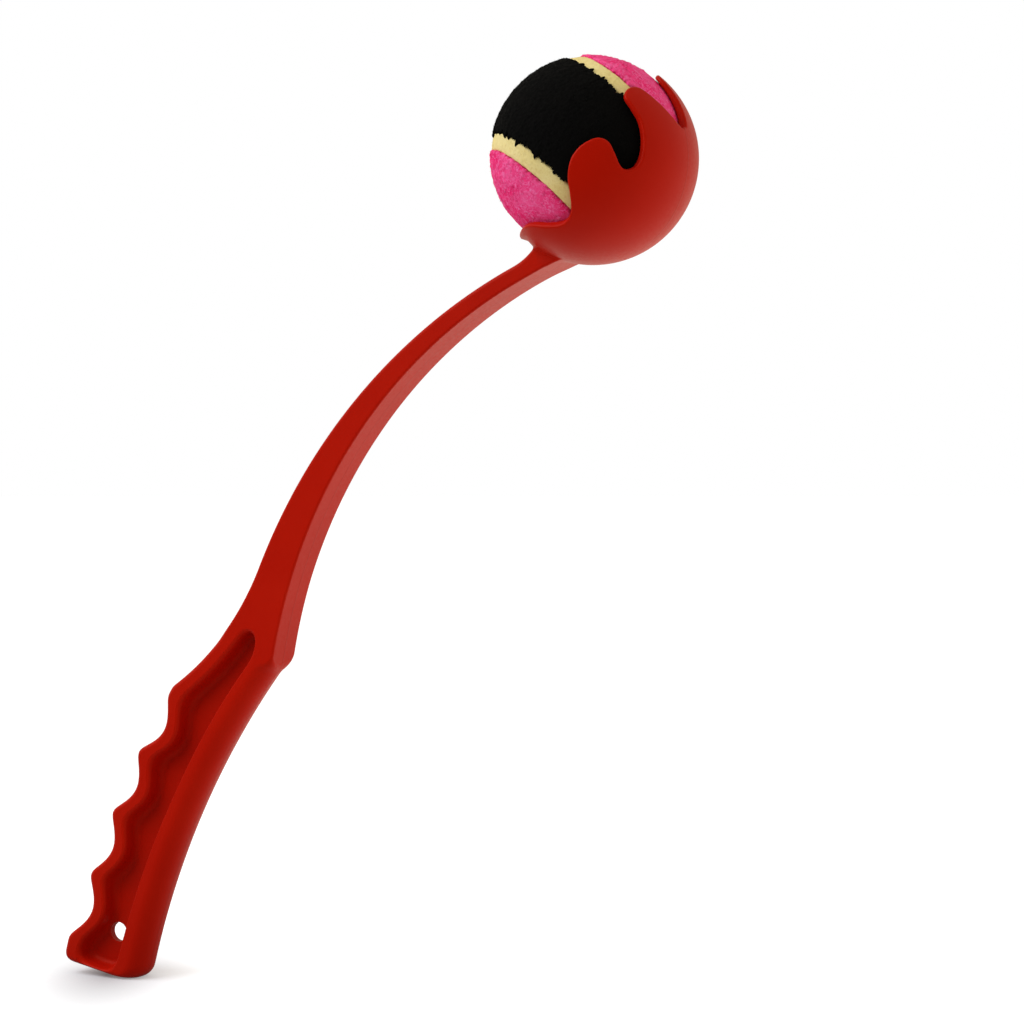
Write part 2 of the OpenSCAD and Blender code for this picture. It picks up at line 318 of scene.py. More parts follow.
def carve(obj: Object, tools: list[tuple[Cut, Object]]) -> Object:
    """Joins or cuts an object with others, keeps the result as its plain mesh and deletes the others.

    Args:
        obj: Object to work on.
        tools: The other objects, each with what it does.
    Returns:
        The first object, with its new mesh.
    """
    for cut, tool in tools:
        modifier = obj.modifiers.new(cut.name.lower(), "BOOLEAN")
        modifier.operation = cut.value
        modifier.solver = "MANIFOLD"
        modifier.object = tool
    shaped = obj.evaluated_get(bpy.context.evaluated_depsgraph_get())
    mesh = bpy.data.meshes.new_from_object(shaped)
    old = obj.data
    obj.modifiers.clear()
    obj.data = mesh
    mesh.name = old.name + "_moulded"
    bpy.data.meshes.remove(old)
    for _, tool in tools:
        tool_mesh = tool.data
        bpy.data.objects.remove(tool)
        bpy.data.meshes.remove(tool_mesh)
    return obj


@dataclass
class Rows:
    """Sections along the moulding, each from a back point to a front point of the middle plane.

    Sizes are in mm: half thickness, front edge radius, and depth and height of the rounded back edge.
    """

    back: Array
    front: Array
    half: Array
    front_edge: Array
    back_depth: Array
    back_height: Array

    @staticmethod
    def joined(parts: list["Rows"]) -> "Rows":
        """One row list from several that follow each other."""
        return Rows(*(np.concatenate([getattr(p, f.name) for p in parts]) for f in fields(Rows)))


@dataclass
class ThrowerLayout:
    """Sizes of the moulding in mm and degrees; the arcs' centres are (x, z) about the hang hole."""

    cup_r: float = 33.9
    cavity_r: float = 32.0
    cavity_shift: float = 1.9
    mouth_angle: float = 135.0
    mouth_lean: float = 12.0
    mouth_turn: float = -6.0
    cup_bulge: float = 5.5
    arm_back_r: float = 178.2
    arm_front_r: float = 208.0
    arm_rise: float = 80.5
    arm_turn: float = 64.5
    arm_depth_low: float = 16.8
    arm_depth_top: float = 5.3
    arm_thick_low: float = 14.0
    arm_thick_top: float = 18.0
    arm_edge: float = 1.2
    arm_back_edge: float = 0.8
    neck_flare: float = 2.2
    neck_len: float = 10.0
    handle_back_r: float = 284.0
    handle_lean: float = 73.8
    end_len: float = 13.0
    shoulder_len: float = 114.6
    handle_thick: float = 15.0
    grip_depth: float = 27.8
    groove_count: int = 4
    groove_pitch: float = 24.3
    groove_depth: float = 5.1
    pommel_flare: float = 2.2
    grip_taper: float = 1.6
    pommel_len: float = 6.9
    ridge_top: float = 3.2
    ridge_soft: float = 0.22
    sweep_r: float = 100.0
    flare_power: int = 10
    shoulder_r: float = 6.0
    back_round: float = 6.0
    grip_edge: float = 2.0
    full_round: float = 0.93
    end_front_r: float = 3.0
    end_side_r: float = 1.6
    end_back_r: float = 6.0
    end_tilt: float = 0.9
    end_tilt_len: float = 9.0
    shoulder_blend: float = 8.0
    hole_inset: float = 15.0
    end_steps: tuple[float, ...] = (
        0, .03, .1, .2, .35, .55, .8, 1.1, 1.4, 1.6, 2, 2.5, 3, 3.6, 4.3, 5.1, 6, 7, 8)
    grip_steps: int = 112
    sweep_steps: tuple[int, int, int] = (34, 15, 30)

    def __post_init__(self) -> None:
        """Finds the arcs' centres and the angles where they meet."""
        hole_a = 90 + self.handle_lean
        self.handle_c = -(self.handle_back_r + self.hole_inset) * ray(hole_a)
        self.end_a = hole_a + self.arc(self.end_len, self.handle_back_r)
        shoulder_a = hole_a - self.arc(self.shoulder_len, self.handle_back_r)
        pommel_a = self.end_a - self.arc(self.pommel_len, self.handle_back_r)
        front_r = self.handle_back_r + self.grip_depth
        self.pitch_a = self.arc(self.groove_pitch, front_r)
        self.ridge_a = pommel_a - self.groove_count * self.pitch_a
        self.sweep_start_a = self.ridge_a - self.arc(self.ridge_top, front_r)
        first_ridge = self.handle_c + front_r * ray(self.sweep_start_a)
        shoulder = self.handle_c + self.handle_back_r * ray(shoulder_a)
        arm_low_a = 90 + self.arm_rise
        self.arm_c = shoulder - self.arm_back_r * ray(arm_low_a)
        self.cup_a = arm_low_a - self.arm_turn
        front_low = self.arm_c + (self.arm_back_r + self.arm_depth_low) * ray(arm_low_a)
        front_top = self.arm_c + (self.arm_back_r + self.arm_depth_top) * ray(self.cup_a)
        self.front_c = circles_meet(front_top, self.arm_front_r, front_low, self.arm_front_r)
        self.sweep_c = circles_meet(first_ridge, self.sweep_r, self.front_c, self.arm_front_r + self.sweep_r)
        self.sweep_low_a = heading(first_ridge - self.sweep_c)
        self.sweep_top_a = heading(self.front_c - self.sweep_c)
        self.sweep_end_a = heading(self.sweep_c + self.sweep_r * ray(self.sweep_top_a) - self.arm_c)
        self.cup_c = self.arm_c + (self.arm_back_r + self.cup_r - self.cup_bulge) * ray(self.cup_a)
        self.ball_c = self.cup_c + self.cavity_shift * ray(self.mouth_angle)
        root = circles_meet(self.front_c, self.arm_front_r, self.cup_c, self.cup_r)
        self.root_a = heading(root - self.arm_c)
        self.corner_c = circles_meet(self.handle_c, self.handle_back_r + self.shoulder_r,
                                     self.arm_c, self.arm_back_r + self.shoulder_r)
        self.corner_low_a = heading(self.corner_c - self.handle_c)
        self.corner_top_a = heading(self.corner_c - self.arm_c)

    @staticmethod
    def arc(length: Array | float, r: float) -> Array | float:
        """Degrees that a length covers on a circle."""
        return np.degrees(length / r)

    def grip_front(self, a: Array) -> Array:
        """Depth of the grip: round scallops between soft ridges, with a flare towards the end.

        Args:
            a: Angles on the handle's arc, in degrees.
        Returns:
            Depths in mm; a scallop is the size of a sine, with its foot rounded.
        """
        k = (a - self.ridge_a) / self.pitch_a
        soft = self.ridge_soft
        scallop = (np.sqrt(np.sin(np.pi * k) ** 2 + soft ** 2) - soft) / (np.sqrt(1 + soft ** 2) - soft)
        share = np.clip(k / self.groove_count, 0, 1)
        flare = self.grip_taper * share + self.pommel_flare * share ** self.flare_power
        inside = (k > 0) & (k < self.groove_count)
        return self.grip_depth + flare - np.where(inside, self.groove_depth * scallop, 0)

    def handle_rows(self) -> Rows:
        """Rows from the handle's rounded end to the first ridge."""
        length = np.radians(self.end_a - self.sweep_start_a) * self.handle_back_r
        e = np.concatenate([self.end_steps, np.linspace(self.end_steps[-1], length, self.grip_steps)[1:-1]])
        a = self.end_a - self.arc(e, self.handle_back_r)
        lift = rounding(e, self.end_back_r)
        half = self.handle_thick / 2 - rounding(e, self.end_side_r)
        depth = self.grip_front(a) - rounding(e, self.end_front_r)
        same = np.ones_like(e)
        tilt = self.arc(self.end_tilt * np.exp(-e / self.end_tilt_len), self.handle_back_r)
        return Rows(self.handle_c + (self.handle_back_r + lift)[:, None] * ray(a),
                    self.handle_c + (self.handle_back_r + depth)[:, None] * ray(a + tilt), half,
                    self.grip_edge * same, self.back_round * same, self.full_round * half)

    def sweep_rows(self) -> Rows:
        """Rows of the sweep: points of the back (handle, shoulder corner, arm) paired with the front arc."""
        lens = np.array([self.handle_back_r * (self.sweep_start_a - self.corner_low_a),
                         self.shoulder_r * (self.corner_top_a - self.corner_low_a),
                         self.arm_back_r * (self.corner_top_a - self.sweep_end_a)])
        marks = np.concatenate([[0], np.cumsum(lens) / lens.sum()])
        spans = list(zip(marks[:-1], marks[1:]))
        t = np.unique(np.concatenate([np.linspace(*span, n) for span, n in zip(spans, self.sweep_steps)]))
        low, corner, top = (np.clip((t - start) / (end - start), 0, 1) for start, end in spans)
        handle = self.handle_c + self.handle_back_r * ray(mix(self.sweep_start_a, self.corner_low_a, low))
        bend = self.corner_c - self.shoulder_r * ray(mix(self.corner_low_a, self.corner_top_a, corner))
        arm = self.arm_c + self.arm_back_r * ray(mix(self.corner_top_a, self.sweep_end_a, top))
        at = t[:, None]
        back = np.where(at < marks[1], handle, np.where(at < marks[2], bend, arm))
        front = self.sweep_c + self.sweep_r * ray(mix(self.sweep_low_a, self.sweep_top_a, t))
        s = along(back)
        middle = np.interp((marks[1] + marks[2]) / 2, t, s)
        form = ease((s - middle) / self.shoulder_blend + 0.5)
        return Rows(back, front, mix(self.handle_thick, self.arm_thick_low, t) / 2,
                    mix(self.grip_edge, self.arm_edge, form), mix(self.back_round, self.arm_back_edge, form),
                    mix(self.full_round * self.handle_thick / 2, self.arm_back_edge, form))

    def arm_rows(self, a: Array) -> Rows:
        """Rows of the arm between its back and front arcs, with its neck flared towards the cup.

        Args:
            a: Angles on the arm's back arc, in degrees, of any shape.
        Returns:
            The rows, with the shape of the angles.
        """
        p = self.arm_c + self.arm_back_r * ray(a)
        v = p - self.front_c
        b = np.sum(v * ray(a), axis=-1)
        reach = np.radians(a - self.root_a) * self.arm_back_r / self.neck_len
        flare = self.neck_flare * (1 - np.clip(reach, 0, 1)) ** 2
        depth = np.sqrt(b * b - np.sum(v * v, axis=-1) + self.arm_front_r ** 2) - b + flare
        share = (a - self.cup_a) / (self.sweep_end_a - self.cup_a)
        half = mix(self.arm_thick_top, self.arm_thick_low, share) / 2 + flare / 2
        edge = np.full(np.shape(a), self.arm_back_edge)
        return Rows(p, p + depth[..., None] * ray(a), half, np.full(np.shape(a), self.arm_edge), edge, edge)


@dataclass
class SectionTemplate:
    """Columns round a section, near half first: back, back edge, side, front edge and front."""

    back: int = 4
    back_corner: int = 9
    side: int = 12
    front_corner: int = 7
    front: int = 4

    @property
    def count(self) -> int:
        """Number of columns round the whole section."""
        return 2 * (self.back + self.back_corner + self.side + self.front_corner + self.front)

    def points(self, rows: Rows) -> Array:
        """Points of every row: a box whose front edges are quarter circles and whose back edges are quarter
        ellipses, drawn from the back's middle round the near side to the front's middle and back.

        Args:
            rows: Sections, with any leading shape.
        Returns:
            Points in mm, with the leading shape, then columns, then x, y and z.
        """
        counts = (self.back, self.back_corner, self.side, self.front_corner)
        flat, turn, side, bend = (np.arange(n) / n for n in counts)
        turn, bend = turn * np.pi / 2, bend * np.pi / 2
        face = np.arange(self.front + 1) / self.front
        depth = np.linalg.norm(rows.front - rows.back, axis=-1)[..., None]
        h, f = rows.half[..., None], rows.front_edge[..., None]
        bw, bh = rows.back_depth[..., None], rows.back_height[..., None]
        q = np.concatenate([0 * h * flat, bw * (1 - np.cos(turn)), bw + (depth - f - bw) * side,
                            depth - f + f * np.sin(bend), depth + 0 * face], axis=-1)
        y = np.concatenate([(h - bh) * flat, h - bh + bh * np.sin(turn), h + 0 * side,
                            h - f + f * np.cos(bend), (h - f) * (1 - face)], axis=-1)
        q = np.concatenate([q, q[..., -2:0:-1]], axis=-1)
        y = np.concatenate([-y, y[..., -2:0:-1]], axis=-1)
        way = unit(rows.front - rows.back)[..., None, :]
        flat_points = rows.back[..., None, :] + q[..., None] * way
        return np.stack([flat_points[..., 0], y, flat_points[..., 1]], axis=-1)


@dataclass
class CupRim:
    """Edge of one half of the cup, from the slot at the tip end round to the lip over the arm.

    Each mark is (turn, level, root) in degrees: the angle round the mouth, the angle down from the mouth's
    axis, and the angle round the mouth of the foot from which the wall rises to that mark.
    """

    slot: tuple[Vector, ...] = (
        (0, 118, 0), (3.4, 117.6, 3.2), (8, 109.5, 6.4), (12, 97.5, 9.6))
    tip_prong: tuple[Vector, ...] = (
        (15, 87, 13), (21, 83.7, 18.6), (27.4, 86, 23.4), (29.5, 93.5, 26.2), (31.6, 102, 29))
    side_notch: tuple[Vector, ...] = (
        (37, 110.5, 34), (44, 116.6, 43), (51, 118.9, 54), (56.5, 116.6, 63), (57.8, 112.3, 67))
    side_prong: tuple[Vector, ...] = (
        (55.2, 105, 69.5), (53.5, 98.5, 71), (55.9, 93.2, 72.6),
        (61.5, 90.4, 74.4), (68, 89.4, 77), (75, 90.8, 80.4))
    arm_notch: tuple[Vector, ...] = (
        (82.6, 95.6, 85), (89.6, 102.8, 90.6), (96.5, 108.3, 97),
        (103.5, 110.2, 103.5), (110.2, 108.4, 110.2))
    arm_lip: tuple[Vector, ...] = (
        (117, 102.6, 117), (123.6, 96.3, 123.6), (131, 92.6, 131),
        (142, 91.1, 142), (160, 90.8, 160), (180, 90.8, 180))
    foot: float = 136.0
    steps: int = 40

    def half(self) -> Array:
        """Marks of one half of the edge, one per line."""
        near = self.slot + self.tip_prong + self.side_notch
        return np.array(near + self.side_prong + self.arm_notch + self.arm_lip)

    def path(self) -> Array:
        """Closed edge: cubic curves through the marks and their mirror images, each with the slope of the
        line between its neighbours.

        Returns:
            Turn, level and root of the edge's points, with the first one repeated a whole turn later.
        """
        lap = np.array([360.0, 0, 360.0])
        half = self.half()
        other = lap + half[-2:0:-1] * np.array([-1, 1, -1])
        marks = np.concatenate([half, other])
        ring = np.concatenate([marks[-1:] - lap, marks, marks[:2] + lap])
        a, b, c, d = (ring[k:len(marks) + k, None] for k in range(4))
        s = np.arange(self.steps)[:, None] / self.steps
        curve = (b + 0.5 * (c - a) * s + (a - 2.5 * b + 2 * c - 0.5 * d) * s ** 2
                 + 0.5 * (3 * b - a - 3 * c + d) * s ** 3)
        return np.concatenate([curve.reshape(-1, 3), marks[:1] + lap])

    def level(self, turn: Array) -> Array:
        """Angle from the mouth's axis to the edge, for angles round the mouth."""
        half = self.half()
        return np.interp(np.abs(turn), np.maximum.accumulate(half[:, 0]), half[:, 1])


@dataclass
class ThrowerMoulding:
    """The thrower in one shot of plastic: a cored handle with finger grooves, an arm and a pronged cup.

    Sizes are in mm and degrees; names that end in steps, columns or points are counts.
    """

    layout: ThrowerLayout
    section: SectionTemplate
    rim: CupRim
    rim_columns: int = 480
    rim_edge: float = 0.7
    edge_steps: int = 5
    bowl_steps: int = 22
    wall_steps: int = 24
    lip_flare: float = 0.5
    lip_flare_len: float = 1.6
    lip_hollow: float = 0.5
    lip_hollow_at: float = 3.0
    lip_hollow_len: float = 1.3
    lip_span: float = 44.0
    lip_fade: float = 20.0
    front_points: int = 1600
    ridge_blend: float = 0.7
    blend_start: float = 3.6
    blend_len: float = 9.0
    end_rings: tuple[float, ...] = (0.3, 0.62, 0.88)
    arm_steps: int = 120
    probe_lead: float = 5.0
    probe_steps: int = 260
    neck_lead: float = 0.4
    neck_steps: int = 7
    fillet_arm: float = 1.4
    fillet_cup: float = 1.0
    fillet_least: float = 0.6
    fillet_share: float = 0.55
    fillet_steps: int = 9
    foot_sink: float = 0.05
    sink: float = 1.3
    cap_margin: float = 0.25
    cap_steps: int = 5
    web_t: float = 3.0
    pocket_front: float = 6.2
    pocket_back: float = 8.0
    pocket_back_end: float = 9.3
    pocket_back_len: float = 70.0
    pocket_end: float = 3.4
    pocket_tip: float = 3.1
    pocket_tip_steps: int = 25
    pocket_corner: float = 1.9
    pocket_corner_share: float = 0.85
    pocket_fine_points: int = 2400
    pocket_points: int = 640
    pocket_over: float = 2.0
    share_blend: float = 5.0
    ring_blend: float = 0.8
    lip_front: float = 1.7
    lip_back: float = 0.5
    lip_angles: tuple[float, ...] = (10, 24, 38, 52, 66, 80, 90)
    floor_front: float = 2.6
    floor_back: float = 1.2
    floor_angles: tuple[float, ...] = (0, 15, 30, 45, 60, 75, 90)
    draft: float = 0.3
    hole_r: float = 3.4
    hole_edge: float = 0.35
    hole_edge_start: float = 12.0
    hole_edge_steps: int = 7
    hole_columns: int = 96
    sharp: float = 40.0

    def rows(self) -> Rows:
        """Rows of the handle and sweep, with the corners of the front line softened away from its end."""
        rows = Rows.joined([self.layout.handle_rows(), self.layout.sweep_rows()])
        s = along(rows.front)
        soft = soften(resample(rows.front, self.front_points), self.ridge_blend, closed=False)
        at = np.linspace(0, s[-1], self.front_points)
        moved = np.stack([np.interp(s, at, c) for c in soft.T], axis=1)
        rows.front = mix(rows.front, moved, ease((s - self.blend_start) / self.blend_len)[:, None])
        return rows

    def skin(self) -> Object:
        """Handle, arm and neck: sections along the row, a fillet onto the cup and a cap inside its wall.

        The arm's columns are followed until they meet the cup's sphere; the fillet is a quadratic curve from
        the arm over that meeting point to a foot on the cup.
        """
        lay, section = self.layout, self.section
        centre = in_space(lay.cup_c)
        handle = section.points(self.rows())
        fine = np.linspace(lay.root_a + self.probe_lead, lay.cup_a, self.probe_steps)
        probe = section.points(lay.arm_rows(fine))
        gap = np.linalg.norm(probe - centre, axis=-1) - lay.cup_r
        first = np.argmax(gap < 0, axis=0)
        column = np.arange(section.count)
        share = gap[first - 1, column] / (gap[first - 1, column] - gap[first, column])
        hit_a = mix(fine[first - 1], fine[first], share)
        hit = mix(probe[first - 1, column], probe[first, column], share[:, None])
        start_a = hit_a + lay.arc(self.fillet_arm, lay.arm_back_r)
        last_a = start_a.max() + self.neck_lead
        arm = section.points(lay.arm_rows(np.linspace(lay.sweep_end_a, last_a, self.arm_steps)[1:]))
        neck_a = mix(last_a, start_a[None, :], np.linspace(0, 1, self.neck_steps)[1:, None])
        neck = section.points(lay.arm_rows(neck_a))[:, column, column]
        away = np.cross(around(hit), unit(hit - centre))
        away *= np.sign(np.sum(away * (hit - hit.mean(axis=0)), axis=1, keepdims=True))
        cup_side = self.fillet_share * self.rim_gap(hit)
        cup_side = np.clip(cup_side, self.fillet_least, self.fillet_cup)[:, None]
        foot = unit(hit + cup_side * away - centre)
        foot = centre + (lay.cup_r - self.foot_sink + self.lip_bend(foot))[:, None] * foot
        t = np.linspace(0, 1, self.fillet_steps)[1:, None, None]
        fillet = (1 - t) ** 2 * neck[-1] + 2 * t * (1 - t) * hit + t * t * foot
        sunk = unit(hit + (cup_side + self.cap_margin) * away - centre)
        middle = unit(sunk.mean(axis=0))
        inward = np.linspace(1, 0, self.cap_steps)[:-1, None, None]
        cap_r = lay.cup_r - self.sink
        cap = centre + cap_r * unit(middle + (sunk - middle) * inward)
        end_middle = handle[0].mean(axis=0)
        end_cap = end_middle + (handle[0] - end_middle) * np.array(self.end_rings)[:, None, None]
        grid = np.concatenate([end_cap, handle, arm, neck, fillet, cap])
        return poled_mesh("thrower_moulding", grid, end_middle, centre + cap_r * middle)

    def mouth_frame(self) -> tuple[Array, Array, Array]:
        """Unit vectors of the rim: towards the tip, sideways and out of the mouth."""
        m = ray(self.layout.mouth_angle)
        lean, turn = ray(self.layout.mouth_lean), ray(self.layout.mouth_turn)
        tip, out, far = in_space((m[1], -m[0])), in_space(m), np.array([0.0, 1.0, 0.0])
        mouth, side = lean[0] * out - lean[1] * far, lean[0] * far + lean[1] * out
        return turn[0] * tip + turn[1] * side, turn[0] * side - turn[1] * tip, mouth

    def rim_gap(self, points: Array) -> Array:
        """Length along the cup from points on it up to the rim.

        Args:
            points: Points on the cup, in mm.
        Returns:
            Lengths in mm.
        """
        tip, side, mouth = self.mouth_frame()
        u = unit(points - in_space(self.layout.cup_c))
        turn = np.degrees(np.arctan2(u @ side, u @ tip))
        low = np.degrees(np.arccos(u @ mouth)) - self.rim.level(turn)
        return np.radians(low) * self.layout.cup_r

    def lip_bend(self, u: Array) -> Array:
        """How far the cup's outer face stands out: flared at the edge of the lip over the arm and hollow
        just below it, both as bell curves of the length below the rim.

        Args:
            u: Unit vectors from the cup's centre.
        Returns:
            Lengths in mm, eased to nothing away from the arm.
        """
        tip, _, mouth = self.mouth_frame()
        low = self.rim_gap(self.layout.cup_r * u + in_space(self.layout.cup_c)).clip(0, None)
        flat = unit(u - (u @ mouth)[..., None] * mouth)
        off = np.degrees(np.arccos(np.clip(-flat @ tip, -1, 1)))
        flare = self.lip_flare * np.exp(-(low / self.lip_flare_len) ** 2)
        hollow = self.lip_hollow * np.exp(-((low - self.lip_hollow_at) / self.lip_hollow_len) ** 2)
        return ease((self.lip_span - off) / self.lip_fade) * (flare - hollow)

    def cup(self) -> Object:
        """Cup: a sphere and an off-centre hollow in it, both swept in meridians from the pole to a foot ring
        and on in slanted lines to the rim, with a rounded land between them that points at the centre."""
        lay = self.layout
        centre = in_space(lay.cup_c)
        axes = self.mouth_frame()
        tip, side, mouth = axes
        shift, offset = lay.cavity_shift, in_space(ray(lay.mouth_angle))

        def hollow(v: Array) -> Array:
            """Distance from the cup's centre to the hollow's wall along unit vectors."""
            c = v @ offset
            return shift * c + np.sqrt(lay.cavity_r ** 2 - shift ** 2 * (1 - c * c))

        path = self.rim.path()
        s = along(sphere_ways(path[:, 0], path[:, 1], axes))
        at = np.arange(self.rim_columns) / self.rim_columns * s[-1]
        turn, level, root = (np.interp(at, s, c) for c in path.T)
        u = sphere_ways(turn, level, axes)
        down = np.cross(u, around(u))
        down *= -np.sign(np.mean(down @ mouth))
        e = self.rim_edge
        k = np.linspace(0, np.pi / 2, self.edge_steps)[:, None, None]
        top = lay.cup_r * u - e * u + e * down + e * (np.cos(k) * u - np.sin(k) * down)
        under = hollow(u)[:, None] * u + e * u + e * down + e * (-np.cos(k) * down - np.sin(k) * u)
        bowl = np.linspace(0, 1, self.bowl_steps)[1:, None]
        rise = np.linspace(0, 1, self.wall_steps)[1:-1, None]

        def wall(v: Array) -> Array:
            """Unit vectors from the pole up to the foot ring and on to just below the rim.

            Args:
                v: Unit vectors of the ring at the rim's edge.
            Returns:
                Rows of unit vectors, with a column per vector of the ring.
            """
            high = np.degrees(np.arccos(v @ mouth))
            aside = np.degrees(np.arctan2(v @ side, v @ tip))
            aside = root + (aside - root + 180) % 360 - 180
            low_turn = np.broadcast_to(root, (len(bowl), len(root)))
            low = sphere_ways(low_turn, 180 - bowl * (180 - self.rim.foot), axes)
            upper = sphere_ways(mix(root, aside, rise), mix(self.rim.foot, high, rise), axes)
            return np.concatenate([low, upper])

        edge = unit(top[0])
        out_way, in_way = wall(edge), wall(unit(under[-1]))[::-1]
        out_rows = out_way * (lay.cup_r + self.lip_bend(out_way))[..., None]
        top = top + self.lip_bend(edge)[:, None] * u
        in_rows = in_way * hollow(in_way)[..., None]
        grid = np.concatenate([out_rows, top, under, in_rows])
        pole = -mouth
        poles = np.stack([lay.cup_r * pole, hollow(pole) * pole])
        return poled_mesh("cup_shell", grid + centre, *(poles + centre))

    def pocket_outline(self) -> Array:
        """Closed outline of the side pocket: in from the front line and the back line, with a round tip.

        Returns:
            Points (x, z) in mm with two more columns: the handle's half thickness there, and the share of
            the soft front edge, which is 1 along the front and 0 along the back.
        """
        rows = self.rows()
        way = unit(rows.front - rows.back)
        depth = np.linalg.norm(rows.front - rows.back, axis=1)
        e = along(rows.back)
        wall = mix(self.pocket_back_end, self.pocket_back, np.clip(e / self.pocket_back_len, 0, 1))
        back = rows.back + wall[:, None] * way
        front = rows.back + (depth - self.pocket_front)[:, None] * way
        inside = e > self.pocket_end
        width = np.linalg.norm(front - back, axis=1)
        last = np.argmax(inside & (width < 2 * self.pocket_tip))
        keep = np.flatnonzero(inside[:last])
        centre = (front[last] + back[last]) / 2
        over = (front[last] - back[last]) / 2
        on = np.array([over[1], -over[0]])
        on *= np.sign(on @ (back[last] - back[last - 1]))
        t = np.linspace(0, np.pi, self.pocket_tip_steps)[1:-1, None]
        tip = centre - over * np.cos(t) + on * np.sin(t)
        half = np.concatenate([rows.half[keep], np.full(len(tip), rows.half[last]), rows.half[keep][::-1]])
        half = np.maximum(half, self.layout.arm_thick_low / 2)
        soft_edge = np.concatenate([0 * keep, ease(t[:, 0] / np.pi), 0 * keep + 1])
        loop = np.column_stack([np.concatenate([back[keep], tip, front[keep][::-1]]), half, soft_edge])
        corner = mix(loop[-1], loop[0], self.pocket_corner_share)
        corner[3] = 1
        loop = np.concatenate([loop, corner[None]])
        even = resample(np.concatenate([loop, loop[:1]]), self.pocket_fine_points + 1)[:-1]
        soft = soften(even, self.pocket_corner, closed=True)
        soft[:, 3] = soften(even, self.share_blend, closed=True)[:, 3]
        return resample(np.concatenate([soft, soft[:1]]), self.pocket_points + 1)[:-1]

    def pocket_tool(self, side: int) -> Object:
        """Solid of a side pocket: its outline moved inward step by step down a profile of a rounded lip, a
        wall with draft and a rounded foot.

        Args:
            side: -1 for the near side, +1 for the far side.
        Returns:
            The closed solid, as an object.
        """
        loop = self.pocket_outline()
        area = np.sum(loop[:, 0] * np.roll(loop[:, 1], -1) - loop[:, 1] * np.roll(loop[:, 0], -1))

        def moved(ring: Array, move: Array) -> Array:
            """Ring moved inward, with its corners kept round.

            Args:
                ring: Points (x, z) of the ring.
                move: Length to move each point by, in mm.
            Returns:
                The new ring.
            """
            run = around(ring)
            inward = np.column_stack([-run[:, 1], run[:, 0]]) * np.sign(area)
            return soften(ring + move[:, None] * inward, self.ring_blend, closed=True)

        lip, foot = np.radians(self.lip_angles)[:, None], np.radians(self.floor_angles)[:, None]
        lip_r = mix(self.lip_back, self.lip_front, loop[:, 3])
        floor_r = mix(self.floor_back, self.floor_front, loop[:, 3])
        floor = loop[:, 2] - self.web_t / 2
        moves = np.concatenate([-lip_r * (1 - np.sin(lip)), self.draft + floor_r * (1 - np.cos(foot))])
        rings = [moved(loop[:, :2], moves[0])]
        for step in np.diff(moves, axis=0):
            rings.append(moved(rings[-1], step))
        flat = np.stack(rings[:1] + rings)
        depths = np.concatenate([np.full((1, len(loop)), -self.pocket_over), lip_r * (1 - np.cos(lip)),
                                 floor - floor_r * (1 - np.sin(foot))])
        y = side * (loop[:, 2] - depths)
        return plugged_mesh("pocket_tool", np.stack([flat[..., 0], y, flat[..., 1]], axis=-1))

    def hole_tool(self) -> Object:
        """Solid of the hang hole: a spool about the y axis that opens in a quarter circle at both faces."""
        k = np.radians(np.linspace(self.hole_edge_start, 90, self.hole_edge_steps))
        flare = self.hole_r + self.hole_edge * (1 - np.sin(k))
        y = np.concatenate([[-self.web_t], -self.web_t / 2 + self.hole_edge * (1 - np.cos(k))])
        r = np.concatenate([flare[:1], flare])
        y, r = np.concatenate([y, -y[::-1]])[:, None], np.concatenate([r, r[::-1]])[:, None]
        t = np.arange(self.hole_columns) / self.hole_columns * 2 * np.pi
        return plugged_mesh("hole_tool", np.stack([r * np.cos(t), y + 0 * t, r * np.sin(t)], axis=-1))

    def build(self, finish: Material) -> Object:
        """Joins the skin and the cup, cuts the pockets and the hole, and dresses the moulding.

        Args:
            finish: Material of the moulding.
        Returns:
            The piece.
        """
        obj = carve(self.skin(), [(Cut.JOIN, self.cup()), (Cut.REMOVE, self.pocket_tool(-1)),
                                  (Cut.REMOVE, self.pocket_tool(1)), (Cut.REMOVE, self.hole_tool())])
        obj.data.shade_smooth()
        obj.data.set_sharp_from_angle(angle=np.radians(self.sharp))
        weighted = obj.modifiers.new("even_shading", "WEIGHTED_NORMAL")
        weighted.keep_sharp = True
        obj.data.materials.clear()
        obj.data.materials.append(finish)
        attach(obj, Body.THROWER.value)
        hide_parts("handle", "arm", "ball_cup")
        return obj


@dataclass
class BallLayout:
    """Sizes of the ball in mm and degrees, about its band axis."""

    centre: Array
    mouth: Array
    ball_r: float = 31.75
    core_r: float = 28.55
    cap_angle: float = 48.0
    ring_angle: float = 11.0
    band_tilt: float = 44.0
    band_turn: float = 40.0
    cup_clear: float = 0.2
    press_level: float = 76.0
    press_fade: float = 10.0

    def axes(self) -> Array:
        """Rows: two vectors square to the band axis, then the band axis."""
        t, p = np.radians(self.band_tilt), np.radians(self.band_turn)
        lean = np.array([np.cos(t) * np.cos(p), np.cos(t) * np.sin(p), -np.sin(t)])
        side = np.array([-np.sin(p), np.cos(p), 0.0])
        return np.stack([lean, side, np.cross(lean, side)])

    def ways(self, turn: Array, level: Array) -> Array:
        """Unit vectors at angles round and from the band axis, in degrees."""
        return sphere_ways(turn, level, self.axes())

    def free(self, ways: Array) -> Array:
        """Share of the nap that stands up: 1 in the open, near 0 where the cup presses on it."""
        level = np.degrees(np.arccos(np.clip(ways @ self.mouth, -1, 1)))
        return 1 - ease((level - self.press_level) / self.press_fade)


@dataclass(frozen=True)
class Nap:
    """Form of a kind of felt.

    Bumps, pits, drop below the ball's surface and the fibres' length and width are in mm, the wander of the
    edges is in degrees, and fibres and columns are counts.
    """

    bumps: float
    pits: float
    ragged: float
    drop: float
    fibres: int
    fibre_len: float
    fibre_w: float
    columns: int


